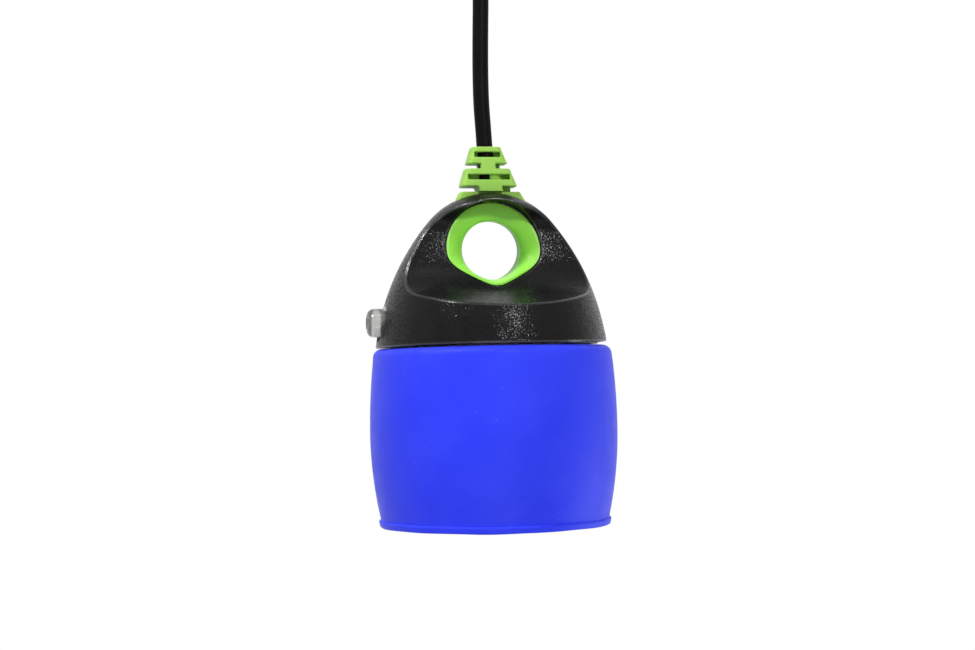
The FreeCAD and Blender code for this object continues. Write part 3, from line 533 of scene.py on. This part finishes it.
class Surface(Enum):
    """The finishes of the light, one for each kind of surface."""

    # Carbon-black ABS, moulded in a spark-eroded tool: near black with glittering beads
    HOUSING = SparkErodedPlastic("spark_eroded_black_abs", "#0B0B0D", 0.16, 1.5, "#0F0F11")
    # Lime TPE, moulded: saturated green that glows a little where thin. Its colour is painted lighter than
    # the boot's to make up for the shade inside the ring.
    LINER = Elastomer(
        "green_tpe_painted_lighter_for_ring_shade", "#86D242", 0.42, 1.5, "#8ED84A", sink=0.5, sink_mm=4.0, sheen=0.05
    )
    # The same lime TPE as the liner, moulded: duller and less deep. Its colour is painted darker than the
    # liner's because the boot stands in full light.
    BOOT = Elastomer("green_tpe_painted_darker_for_full_light", "#80B13D", 0.5, 1.5, "#88B745", sink=0.25, sink_mm=2.0, sheen=0.1)
    # Ultramarine silicone, moulded: matte, with sheen from dust and a few specks of lint
    SHADE = Elastomer(
        "moulded_blue_silicone",
        "#2434DB",
        0.5,
        1.41,
        "#2939DE",
        sink=0.15,
        sink_mm=2.5,
        sheen=0.08,
        specular=0.16,
        lint="#A9B2FF",
    )
    # Clear silicone, moulded: greyish and bright at once, darker at its edges
    STOPPER = ClearMoulding("moulded_clear_silicone", "#B9B9B7", 0.16, 1.41, passes=0.85, streak_mm=4.0)
    # Black PVC jacket, extruded: an even deep black satin
    CORD = MouldedPlastic(
        "extruded_black_pvc", "#080809", 0.42, 1.52, "#0B0B0C", grain_mm=0.6, specular=0.04
    )
    # Black PVC, moulded: a little greyer and rougher than the jacket
    PLUG = MouldedPlastic(
        "moulded_black_pvc", "#121213", 0.5, 1.52, "#161617", grain_depth_mm=0.02, specular=0.15
    )
    # White ABS, moulded: warm white with a fine grain
    PLATE = MouldedPlastic("moulded_white_abs", "#E9E9E4", 0.45, 1.53, "#E3E3DD")
    # Frosted polycarbonate, moulded: milky, scatters the LEDs behind it
    DIFFUSER = ClearMoulding("frosted_polycarbonate", "#F4F4EE", 0.55, 1.58, passes=0.55, streak_mm=0.8)
    # Aluminium, rolled: pale metal with soft lines
    SPREADER = SheetMetal("rolled_aluminium", "#D9DADC", 0.35, second="#CFD0D2")
    # Solder mask, printed and cured: glossy white
    LED_BOARD = MouldedPlastic("white_solder_mask", "#EDEEEA", 0.35, 1.5, "#E6E7E3")
    # Phosphor in clear silicone, cast: yellow with a soft gloss
    LED_CHIP = MouldedPlastic("cast_yellow_phosphor", "#F2CE4A", 0.4, 1.45, "#EDC23C", mottle_mm=0.8)
    # Steel, zinc plated: cool grey metal
    SCREW = SheetMetal("zinc_plated_steel", "#B9BBBE", 0.3, second="#AEB1B5")
    # Glass epoxy under solder mask: dark green with a gloss
    BOARD = MouldedPlastic("green_glass_epoxy", "#12613A", 0.35, 1.5, "#0F5632", grain_mm=0.5)
    # Ferrite, pressed and sintered: dull dark grey
    COIL = MouldedPlastic("sintered_ferrite", "#3A3A3C", 0.6, 1.9, "#333335", grain_depth_mm=0.02)
    # Aluminium, drawn to a can: bright metal
    CAN = SheetMetal("drawn_aluminium_can", "#C9CBCE", 0.28, second="#BFC1C5")
    # Epoxy, moulded round the chip: matt near black
    CHIP = MouldedPlastic("moulded_black_epoxy", "#1B1B1C", 0.5, 1.55, "#202021", specular=0.2)
    # Nylon, moulded: black satin
    SOCKET = MouldedPlastic("moulded_black_nylon", "#1A1A1B", 0.45, 1.53, "#1E1E1F", specular=0.15)
    # Brass, stamped or turned and plated: warm yellow metal
    CONTACT = SheetMetal("plated_brass", "#D8B35F", 0.25, second="#CDA752")
    # Brass, drawn and nickel plated: bright, slightly warm metal with lines along the barrel
    SLEEVE = SheetMetal("nickel_plated_brass", "#CFCBC2", 0.2, second="#C4C0B7", stretch=(12.0, 12.0, 1.0))
    # Red PVC insulation, extruded: deep red satin
    WIRE_RED = MouldedPlastic("red_pvc_insulation", "#A61B1B", 0.4, 1.52, "#981717")
    # Black PVC insulation, extruded: near black satin
    WIRE_BLACK = MouldedPlastic("black_pvc_insulation", "#151516", 0.4, 1.52, "#19191A", specular=0.2)
    # Nylon, moulded: mid grey satin
    INSULATOR = MouldedPlastic("moulded_grey_nylon", "#3C3D3E", 0.5, 1.53, "#414243", specular=0.3)


class Paints:
    """Makes each finish's material once."""

    def __init__(self) -> None:
        """Starts with no material made."""
        self.made: dict[Surface, Material] = {}

    def of(self, surface: Surface) -> Material:
        """Finds or makes a surface's material.

        Args:
            surface: The kind of surface.

        Returns:
            Its material.
        """
        if surface not in self.made:
            self.made[surface] = surface.value.build()
        return self.made[surface]

    def put(self, piece: Piece, surface: Surface) -> None:
        """Gives a piece one material in place of all that it has."""
        piece.data.materials.clear()
        piece.data.materials.append(self.of(surface))


# Meshes


def linked(name: str, data: bpy.types.ID) -> Piece:
    """Makes an object and links it to the scene.

    Args:
        name: The object's name.
        data: Its mesh, curve, lamp or camera.

    Returns:
        The new object.
    """
    piece = bpy.data.objects.new(name, data)
    bpy.context.scene.collection.objects.link(piece)
    return piece


def smoothed(mesh: bpy.types.Mesh, sharp_degrees: float = 40.0) -> None:
    """Shades a mesh smooth.

    Args:
        mesh: The mesh.
        sharp_degrees: Edges that turn by more than this stay sharp.
    """
    for polygon in mesh.polygons:
        polygon.use_smooth = True
    mesh.set_sharp_from_angle(angle=math.radians(sharp_degrees))


def applied(piece: Piece) -> None:
    """Turns a piece's modifiers into its mesh.

    Args:
        piece: The piece.
    """
    graph = bpy.context.evaluated_depsgraph_get()
    mesh = bpy.data.meshes.new_from_object(piece.evaluated_get(graph))
    old = piece.data
    piece.modifiers.clear()
    piece.data = mesh
    bpy.data.meshes.remove(old)


def smooth_step(start: float, stop: float, value: float) -> float:
    """Gives 0 at start and 1 at stop, with an even bend between."""
    share = min(max((value - start) / (stop - start), 0.0), 1.0)
    return share * share * (3 - 2 * share)


def waves(angle: float, parts: Iterable[Wave]) -> float:
    """Adds up sine waves round a turn, each given by its height, its count and where it starts."""
    return sum(height * math.sin(count * angle + start) for height, count, start in parts)


def arc(centre: Point, radius: float, start: float, stop: float, steps: int) -> list[Point]:
    """Gives points along an arc.

    Args:
        centre: The middle of the arc.
        radius: Its radius.
        start: The angle of the first point, in degrees.
        stop: The angle of the last point, in degrees.
        steps: How many straight steps the arc has.

    Returns:
        The points.
    """
    points = []
    for step in range(steps + 1):
        angle = math.radians(start + (stop - start) * step / steps)
        points.append((centre[0] + radius * math.cos(angle), centre[1] + radius * math.sin(angle)))
    return points


def lathe(
    name: str, profile: Iterable[Point], segments: int, warp: Callable[[Vector], Vector] | None = None
) -> Piece:
    """Turns a closed profile of (radius, height) round the Z axis.

    Args:
        name: The new object's name.
        profile: Corners of the closed section, in metres, none on the axis.
        segments: How many steps the turn has.
        warp: Moves each point, where given.

    Returns:
        The new object.
    """
    corners = list(profile)
    made = bmesh.new()
    rings = []
    for step in range(segments):
        angle = 2 * math.pi * step / segments
        ring = []
        for radius, height in corners:
            point = Vector((radius * math.cos(angle), radius * math.sin(angle), height))
            ring.append(made.verts.new(warp(point) if warp else point))
        rings.append(ring)
    for ring, following in zip(rings, rings[1:] + rings[:1]):
        for index in range(len(corners)):
            after = (index + 1) % len(corners)
            made.faces.new((ring[index], following[index], following[after], ring[after]))
    bmesh.ops.recalc_face_normals(made, faces=made.faces)
    mesh = bpy.data.meshes.new(name)
    made.to_mesh(mesh)
    made.free()
    smoothed(mesh)
    return linked(name, mesh)


# Camera, lamps and surroundings


@dataclass(frozen=True)
class Lamp:
    """One square lamp that faces the light.

    Its direction is in degrees round from the front and up from level, and its distance and size
    are in metres.
    """

    name: str
    azimuth: float
    elevation: float
    distance: float
    size: float
    watts: float

    def place(self) -> None:
        """Makes the lamp and puts it in its place."""
        data = bpy.data.lights.new(self.name, "AREA")
        data.size = self.size
        data.energy = self.watts
        lamp = linked(self.name, data)
        turn = math.radians(self.azimuth)
        rise = math.radians(self.elevation)
        away = Vector((math.sin(turn) * math.cos(rise), -math.cos(turn) * math.cos(rise), math.sin(rise)))
        lamp.location = away * self.distance
        lamp.rotation_euler = away.to_track_quat("Z", "Y").to_euler()


@dataclass
class Studio:
    """The camera, as in the photograph, with small lamps from above and large low ones to fill.

    Angles are in degrees and lengths in metres, but the lens and sensor in millimetres. The room's
    light goes from its low level to its high one between two heights of a direction, -1 to 1.
    """

    azimuth: float = -11.2
    distance: float = 0.577
    camera_z: float = -0.0404
    aim_x: float = -0.00107
    aim_z: float = -0.02407
    roll: float = -0.95
    lens: float = 65.68
    sensor: float = 36.0
    nearest: float = 0.01
    lamps: tuple[Lamp, ...] = (
        Lamp("top_lamp", 2.0, 66.0, 0.9, 0.3, 0.8),
        Lamp("key_lamp", 14.6, 26.0, 0.8, 0.085, 3.2),
        Lamp("left_lamp", -66.0, 50.0, 0.9, 0.16, 8.0),
        Lamp("right_lamp", 92.0, -24.0, 0.9, 0.4, 2.3),
        Lamp("low_fill", -8.0, -40.0, 0.9, 0.5, 2.8),
    )
    room_low: float = 0.55
    room_low_until: float = 0.1
    room_high: float = 0.26
    room_high_from: float = 0.4
    floor_z: float = -0.6
    floor_reach: float = 4.0
    floor_colour: str = "#EDEDED"
    floor_glow: float = 0.9
    glow_from: float = 0.5
    glow_full: float = 2.2

    def place_camera(self) -> None:
        """Puts the camera where the photograph was taken from."""
        data = bpy.data.cameras.new("camera")
        data.lens = self.lens
        data.sensor_width = self.sensor
        data.clip_start = self.nearest
        data.dof.use_dof = False
        camera = linked("camera", data)
        turn = math.radians(self.azimuth)
        camera.location = (self.distance * math.sin(turn), -self.distance * math.cos(turn), self.camera_z)
        right = Vector((math.cos(turn), math.sin(turn), 0))
        aim = right * self.aim_x + Vector((0, 0, self.aim_z))
        look = (aim - camera.location).to_track_quat("-Z", "Y")
        roll = Matrix.Rotation(math.radians(self.roll), 3, "Z")
        camera.rotation_euler = (look.to_matrix() @ roll).to_euler()
        bpy.context.scene.camera = camera

    def place_lamps(self) -> None:
        """Puts each lamp in its place."""
        for lamp in self.lamps:
            lamp.place()

    def seen(self, tree: Tree) -> Socket:
        """Finds the rays that show the surroundings: straight, through clear pieces or in a reflection.

        Args:
            tree: The node tree.

        Returns:
            1 for such a ray and 0 for any other.
        """
        rays = add(tree, "ShaderNodeLightPath").outputs
        shown = rays["Is Camera Ray"]
        for kind in ("Is Transmission Ray", "Is Glossy Ray"):
            either = add(tree, "ShaderNodeMath", {"operation": "MAXIMUM"}, {0: shown, 1: rays[kind]})
            shown = either.outputs[0]
        return shown

    def make_room(self) -> None:
        """Makes the white surroundings, which light the object more from below than from above."""
        world = bpy.data.worlds.new("studio")
        world.use_nodes = True
        tree = world.node_tree
        tree.nodes.clear()
        facing = add(tree, "ShaderNodeTexCoord").outputs["Generated"]
        height = add(tree, "ShaderNodeSeparateXYZ", links={0: facing}).outputs["Z"]
        settings = {
            "From Min": self.room_low_until,
            "From Max": self.room_high_from,
            "To Min": self.room_low,
            "To Max": self.room_high,
        }
        room = add(tree, "ShaderNodeMapRange", settings, {"Value": height}).outputs[0]
        level = add(tree, "ShaderNodeMath", {"operation": "MAXIMUM"}, {0: self.seen(tree), 1: room})
        white = add(tree, "ShaderNodeBackground", {"Color": WHITE}, {"Strength": level.outputs[0]})
        add(tree, "ShaderNodeOutputWorld", links={"Surface": white.outputs[0]})
        bpy.context.scene.world = world

    def lay_floor(self) -> None:
        """Lays the pale floor below the object."""
        made = bmesh.new()
        bmesh.ops.create_grid(made, x_segments=1, y_segments=1, size=self.floor_reach)
        bmesh.ops.translate(made, verts=made.verts, vec=(0, 0, self.floor_z))
        mesh = bpy.data.meshes.new("floor")
        made.to_mesh(mesh)
        made.free()
        floor = linked("floor", mesh)
        floor.data.materials.append(self.floor_material())

    def floor_material(self) -> Material:
        """Makes the floor's material: pale, with the object's shadow, and as white as the room further off.

        Returns:
            The new material.
        """
        material = bpy.data.materials.new("pale_floor")
        material.use_nodes = True
        tree = material.node_tree
        tree.nodes.clear()
        matte = add(tree, "ShaderNodeBsdfDiffuse", {"Color": linear(self.floor_colour)}).outputs[0]
        white = add(tree, "ShaderNodeEmission", {"Color": WHITE, "Strength": 1.0}).outputs[0]
        place = add(tree, "ShaderNodeTexCoord").outputs["Object"]
        away = add(tree, "ShaderNodeVectorMath", {"operation": "LENGTH"}, {0: place}).outputs["Value"]
        fade = {"From Min": self.glow_from, "From Max": self.glow_full, "To Min": self.floor_glow}
        pale = add(tree, "ShaderNodeMapRange", fade, {"Value": away}).outputs[0]
        share = add(tree, "ShaderNodeMath", {"operation": "MULTIPLY"}, {0: self.seen(tree), 1: pale})
        mixed = add(tree, "ShaderNodeMixShader", links={0: share.outputs[0], 1: matte, 2: white})
        add(tree, "ShaderNodeOutputMaterial", links={"Surface": mixed.outputs[0]})
        return material


# The light's sub-assemblies


class SubAssembly:
    """A part of the light that makes its own meshes and dresses them."""

    def build(self, frame: dict, paints: Paints) -> list[Piece]:
        """Makes and dresses the pieces.

        Args:
            frame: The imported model.
            paints: The light's materials.

        Returns:
            The pieces.
        """
        raise NotImplementedError


@dataclass
class Cord(SubAssembly):
    """The free cord: a taut round jacket from the boot up to its plug, its route in millimetres."""

    radius: float = 2.6 * MM
    length: float = 52.6 * MM
    exit: Place = (0.0, 0.0, 33.5 * MM)
    route: tuple[Place, ...] = (
        (-1.1, 0.0, 33.5),
        (-1.45, 0.0, 40.0),
        (-2.0, 0.0, 48.0),
        (-2.1, 0.0, 60.0),
        (-1.8, 0.0, 74.0),
        (-1.6, 0.0, 80.0),
        (-1.6, 0.0, 86.0),
    )
    bend_order: int = 3
    route_steps: int = 16
    round_steps: int = 12

    def build(self, frame: dict, paints: Paints) -> list[Piece]:
        """Args:
            frame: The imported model.
            paints: The light's materials.

        Returns:
            The cord.
        """
        data = bpy.data.curves.new("cord_jacket", "CURVE")
        data.dimensions = "3D"
        spline = data.splines.new("NURBS")
        spline.points.add(len(self.route) - 1)
        for point, place in zip(spline.points, self.route):
            point.co = (*(value * MM for value in place), 1.0)
        spline.order_u = self.bend_order
        spline.use_endpoint_u = True
        spline.resolution_u = self.route_steps
        data.bevel_depth = self.radius
        data.bevel_resolution = self.round_steps
        data.use_fill_caps = True
        piece = linked("cord_jacket", data)
        paints.put(piece, Surface.CORD)
        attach(piece, "lamp")
        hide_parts("cord")
        return [piece]


@dataclass
class Boot(SubAssembly):
    """The slotted strain relief and the cord's end inside it, both leaning a little to the left."""

    voxel: float = 0.16 * MM
    rounding: int = 5
    lean: float = -0.06
    lean_from: float = 15.5 * MM
    base_right: float = 10.1 * MM
    base_pinch: float = 0.038
    pinch_full: float = 18.5 * MM
    pinch_gone: float = 22.0 * MM
    tail_core: float = 0.2 * MM
    tail_rounding: float = 0.3 * MM
    tail_steps: int = 24
    tail_segments: int = 48

    def bent(self, point: Vector) -> Vector:
        """Moves a point with the boot's lean, and draws the left side of its base in a little.

        Args:
            point: The point on the upright boot.

        Returns:
            Its new place.
        """
        low = smooth_step(self.pinch_gone, self.pinch_full, point.z)
        pinch = self.base_pinch * low * (self.base_right - point.x)
        return point + Vector((self.lean * max(point.z - self.lean_from, 0.0) + pinch, 0, 0))

    def build(self, frame: dict, paints: Paints) -> list[Piece]:
        """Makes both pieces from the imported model's own forms.

        Args:
            frame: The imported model.
            paints: The light's materials.

        Returns:
            The boot and the cord's end.
        """
        piece = linked("boot_moulding", frame["nodes"]["cord_boot"].data.copy())
        remesh = piece.modifiers.new("voxels", "REMESH")
        remesh.mode = "VOXEL"
        remesh.voxel_size = self.voxel
        remesh.use_smooth_shade = True
        soften = piece.modifiers.new("soften", "SMOOTH")
        soften.iterations = self.rounding
        applied(piece)
        for vertex in piece.data.vertices:
            vertex.co = self.bent(vertex.co)
        paints.put(piece, Surface.BOOT)
        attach(piece, "lamp")
        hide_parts("cord_boot")
        return [piece, self.cord_end(paints)]

    def cord_end(self, paints: Paints) -> Piece:
        """Makes the jacketed end of the cord inside the boot.

        Args:
            paints: The light's materials.

        Returns:
            The cord's end.
        """
        low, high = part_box("cord_tail")
        radius = (high.x - low.x) / 2
        round_top = low.z + self.tail_rounding
        profile = [(self.tail_core, low.z), (radius - self.tail_rounding, low.z), (radius, round_top)]
        for step in range(1, self.tail_steps + 1):
            profile.append((radius, low.z + (high.z - low.z) * step / self.tail_steps))
        profile.append((self.tail_core, high.z))
        piece = lathe("cord_end_in_boot", profile, self.tail_segments, self.bent)
        paints.put(piece, Surface.CORD)
        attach(piece, "lamp")
        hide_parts("cord_tail")
        return piece


@dataclass(frozen=True)
class Bead:
    """The bead round the shade's mouth, in millimetres.

    It has a ridge at its top, then a face that draws in to a rounded lip. A pair gives a corner's
    distance outside the bead's radius, or the mouth's for the root, and its height above the bead's
    top, or the shade's lower edge for the foot.
    """

    radius: float = 37.5
    height: float = 2.1
    root: Point = (0.08, 0.2)
    shelf: Point = (-0.22, -0.02)
    ridge: float = 0.32
    ridge_drop: float = 0.06
    face_top: Point = (-0.1, -0.8)
    face_foot: Point = (-0.16, 0.9)
    lip: float = 0.6
    lip_inset: float = 0.22
    inner_lip: float = 0.4

    def points(self, bottom: float, mouth: float, wall: float) -> list[Point]:
        """Gives the bead's corners from its root down and round to the inner face of the wall.

        Args:
            bottom: The height of the shade's lower edge.
            mouth: The wall's outer radius above the bead.
            wall: The wall's thickness.

        Returns:
            The corners, in millimetres.
        """
        top = bottom + self.height
        points = [
            (mouth + self.root[0], top + self.root[1]),
            (self.radius + self.shelf[0], top + self.shelf[1]),
        ]
        ridge_middle = (self.radius - self.ridge, top - self.ridge - self.ridge_drop)
        points += arc(ridge_middle, self.ridge, 70, -10, steps=4)
        points.append((self.radius + self.face_top[0], top + self.face_top[1]))
        points.append((self.radius + self.face_foot[0], bottom + self.face_foot[1]))
        lip_middle = (self.radius - self.lip - self.lip_inset, bottom + self.lip)
        points += arc(lip_middle, self.lip, 0, -90, steps=5)
        inner_middle = (mouth - wall + self.inner_lip, bottom + self.inner_lip)
        return points + arc(inner_middle, self.inner_lip, -90, -180, steps=3)


@dataclass
class Shade(SubAssembly):
    """The open silicone shade: flange, round shoulder, barrel wall and a beaded mouth, in millimetres."""

    top: float = -31.1
    height: float = 57.5
    hole: float = 24.0
    hole_edge_above: float = 0.5
    hole_edge_below: float = 0.4
    flange_above: Place = (27.0, 30.0, 33.0)
    flange_below: Place = (32.0, 29.0, 26.0)
    shoulder: float = 38.65
    corner: float = 2.9
    corner_slack: float = 0.6
    belly: float = 40.0
    belly_z: float = -58.0
    wall: float = 2.0
    wall_steps: int = 44
    wall_below_corner: float = 0.8
    wall_above_bead: float = 0.5
    inner_below_flange: float = 1.6
    inner_above_foot: float = 1.5
    mouth: float = 36.8
    bead: Bead = Bead()
    segments: int = 256
    out_of_round: float = 0.12
    swell: tuple[Wave, ...] = ((1.0, 2, 0.6), (0.5, 3, 2.1), (0.25, 7, 0.0))
    droop: float = 0.15
    droop_power: int = 6
    ripple: tuple[Wave, ...] = ((0.4, 5, 1.0), (0.3, 11, 0.0))
    unevenness: float = 0.05
    uneven_per_metre: float = 90.0
    slip_top: float = 0.25
    slip_wall: float = 0.4
    slip_steepness: float = 10.0
    tip: float = 0.35
    tip_power: int = 3

    def wall_radius(self, z: float) -> float:
        """Gives the wall's outer radius.

        Args:
            z: The height, in millimetres.

        Returns:
            The radius, in millimetres.
        """
        above = z > self.belly_z
        end_z = self.top - self.corner if above else self.top - self.height + self.bead.height
        end = self.shoulder if above else self.mouth
        share = (z - self.belly_z) / (end_z - self.belly_z)
        return self.belly - (self.belly - end) * share * share

    def wall_points(self, start: float, stop: float, inset: float) -> list[Point]:
        """Gives points along the wall between two heights, inset from its outer face.

        Args:
            start: The first height, in millimetres.
            stop: The last height, in millimetres.
            inset: How far inside the outer face the points are, in millimetres.

        Returns:
            The points, in millimetres.
        """
        heights = [start + (stop - start) * step / self.wall_steps for step in range(self.wall_steps + 1)]
        return [(self.wall_radius(z) - inset, z) for z in heights]

    def profile(self) -> list[Point]:
        """Gives the closed section from the flange's hole outwards, down, and back up inside.

        Returns:
            The corners, in metres.
        """
        bottom = self.top - self.height
        under = self.top - self.wall
        edge = self.hole_edge_above
        points = arc((self.hole + edge, self.top - edge), edge, 180, 90, steps=4)
        points += [(radius, self.top) for radius in self.flange_above]
        points += arc((self.shoulder - self.corner, self.top - self.corner), self.corner, 90, 4, steps=10)
        wall_top = self.top - self.corner - self.wall_below_corner
        points += self.wall_points(wall_top, bottom + self.bead.height + self.wall_above_bead, 0.0)
        points += self.bead.points(bottom, self.mouth, self.wall)
        inner_top = under - self.inner_below_flange
        points += self.wall_points(bottom + self.inner_above_foot, inner_top, self.wall)
        inner = self.corner - self.wall + self.corner_slack
        points += arc((self.shoulder - self.wall - inner, under - inner), inner, 0, 90, steps=5)
        points += [(radius, under) for radius in self.flange_below]
        edge = self.hole_edge_below
        points += arc((self.hole + edge, under + edge), edge, -90, -180, steps=3)
        return [(radius * MM, z * MM) for radius, z in points]

    def slack(self, point: Vector) -> Vector:
        """Moves a point as soft silicone sags: slipped right, low at the left and wavy at the lip.

        Args:
            point: The point on the true shade, in metres.

        Returns:
            Its new place.
        """
        depth = min(max((self.top * MM - point.z) / (self.height * MM), 0.0), 1.0)
        angle = math.atan2(point.y, point.x)
        swell = self.out_of_round * MM * waves(angle, self.swell) * depth * depth
        radial = Vector((point.x, point.y, 0)).normalized() * swell
        droop = self.droop * MM * waves(angle, self.ripple) * depth**self.droop_power
        uneven = noise.noise(point * self.uneven_per_metre) * self.unevenness * MM * depth
        slip = self.slip_top + (self.slip_wall - self.slip_top) * min(depth * self.slip_steepness, 1.0)
        leftness = 0.5 - 0.5 * point.x / (self.belly * MM)
        tip = -self.tip * MM * leftness**self.tip_power * (1 - depth)
        return point + radial + Vector((slip * MM, 0, droop + uneven + tip))

    def build(self, frame: dict, paints: Paints) -> list[Piece]:
        """Makes the shade.

        Args:
            frame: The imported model.
            paints: The light's materials.

        Returns:
            The shade.
        """
        piece = lathe("shade_moulding", self.profile(), self.segments, self.slack)
        paints.put(piece, Surface.SHADE)
        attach(piece, "shade")
        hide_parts("shade")
        return [piece]


@dataclass
class Housing(SubAssembly):
    """The domed shell, its rim a little out of level: low at the left, high at the right."""

    tilt: float = 0.65 * MM
    tilt_power: int = 3
    rim: float = 37.4 * MM
    tilt_top: float = -23.0 * MM
    tilt_bottom: float = -30.6 * MM
    skin_inner: float = 34.2 * MM
    skin_outer: float = 35.6 * MM

    def build(self, frame: dict, paints: Paints) -> list[Piece]:
        """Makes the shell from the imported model's own form.

        Args:
            frame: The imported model.
            paints: The light's materials.

        Returns:
            The shell.
        """
        piece = linked("housing_shell", frame["nodes"]["housing"].data.copy())
        for vertex in piece.data.vertices:
            low = smooth_step(self.tilt_top, self.tilt_bottom, vertex.co.z)
            skin = smooth_step(self.skin_inner, self.skin_outer, math.hypot(vertex.co.x, vertex.co.y))
            vertex.co.z += self.tilt * (vertex.co.x / self.rim) ** self.tilt_power * low * skin
        paints.put(piece, Surface.HOUSING)
        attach(piece, "lamp")
        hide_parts("housing")
        return [piece]


@dataclass
class CarriedPieces(SubAssembly):
    """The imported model's own forms that need no new shape, each with its finish."""

    finishes: dict[str, Surface] = field(
        default_factory=lambda: {
            "ring_liner_front": Surface.LINER,
            "ring_liner_rear": Surface.LINER,
            "lead_positive": Surface.WIRE_RED,
            "lead_negative": Surface.WIRE_BLACK,
            "base_plate": Surface.PLATE,
            "housing_screws": Surface.SCREW,
            "heat_spreader": Surface.SPREADER,
            "led_board": Surface.LED_BOARD,
            "led_chips": Surface.LED_CHIP,
            "led_board_screws": Surface.SCREW,
            "led_leads": Surface.WIRE_RED,
            "diffuser": Surface.DIFFUSER,
            "driver_board": Surface.BOARD,
            "board_screws": Surface.SCREW,
            "inductor": Surface.COIL,
            "capacitor": Surface.CAN,
            "driver_chip": Surface.CHIP,
            "port_socket": Surface.SOCKET,
            "port_pin": Surface.CONTACT,
            "port_spring": Surface.CONTACT,
            "port_leads": Surface.WIRE_BLACK,
            "port_stopper": Surface.STOPPER,
            "plug_relief": Surface.PLUG,
            "plug_body": Surface.PLUG,
            "plug_sleeve": Surface.SLEEVE,
            "plug_insulator": Surface.INSULATOR,
            "plug_contact": Surface.CONTACT,
        }
    )

    def build(self, frame: dict, paints: Paints) -> list[Piece]:
        """Gives each of these nodes its material.

        Args:
            frame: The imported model.
            paints: The light's materials.

        Returns:
            The nodes.
        """
        for name, surface in self.finishes.items():
            paints.put(frame["nodes"][name], surface)
        return [frame["nodes"][name] for name in self.finishes]


def main() -> None:
    """Builds the scene in order and reports each piece."""
    logging.basicConfig(level=logging.INFO, format="%(name)s %(message)s")
    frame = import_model()
    bpy.context.scene.view_settings.view_transform = "Standard"
    studio = Studio()
    studio.place_camera()
    paints = Paints()
    for assembly in (Cord(), Boot(), Shade(), Housing(), CarriedPieces()):
        for piece in assembly.build(frame, paints):
            LOG.info("%s: %s", piece.name, piece.data.materials[0].name)
    studio.place_lamps()
    studio.make_room()
    studio.lay_floor()


if __name__ == "__main__":
    main()
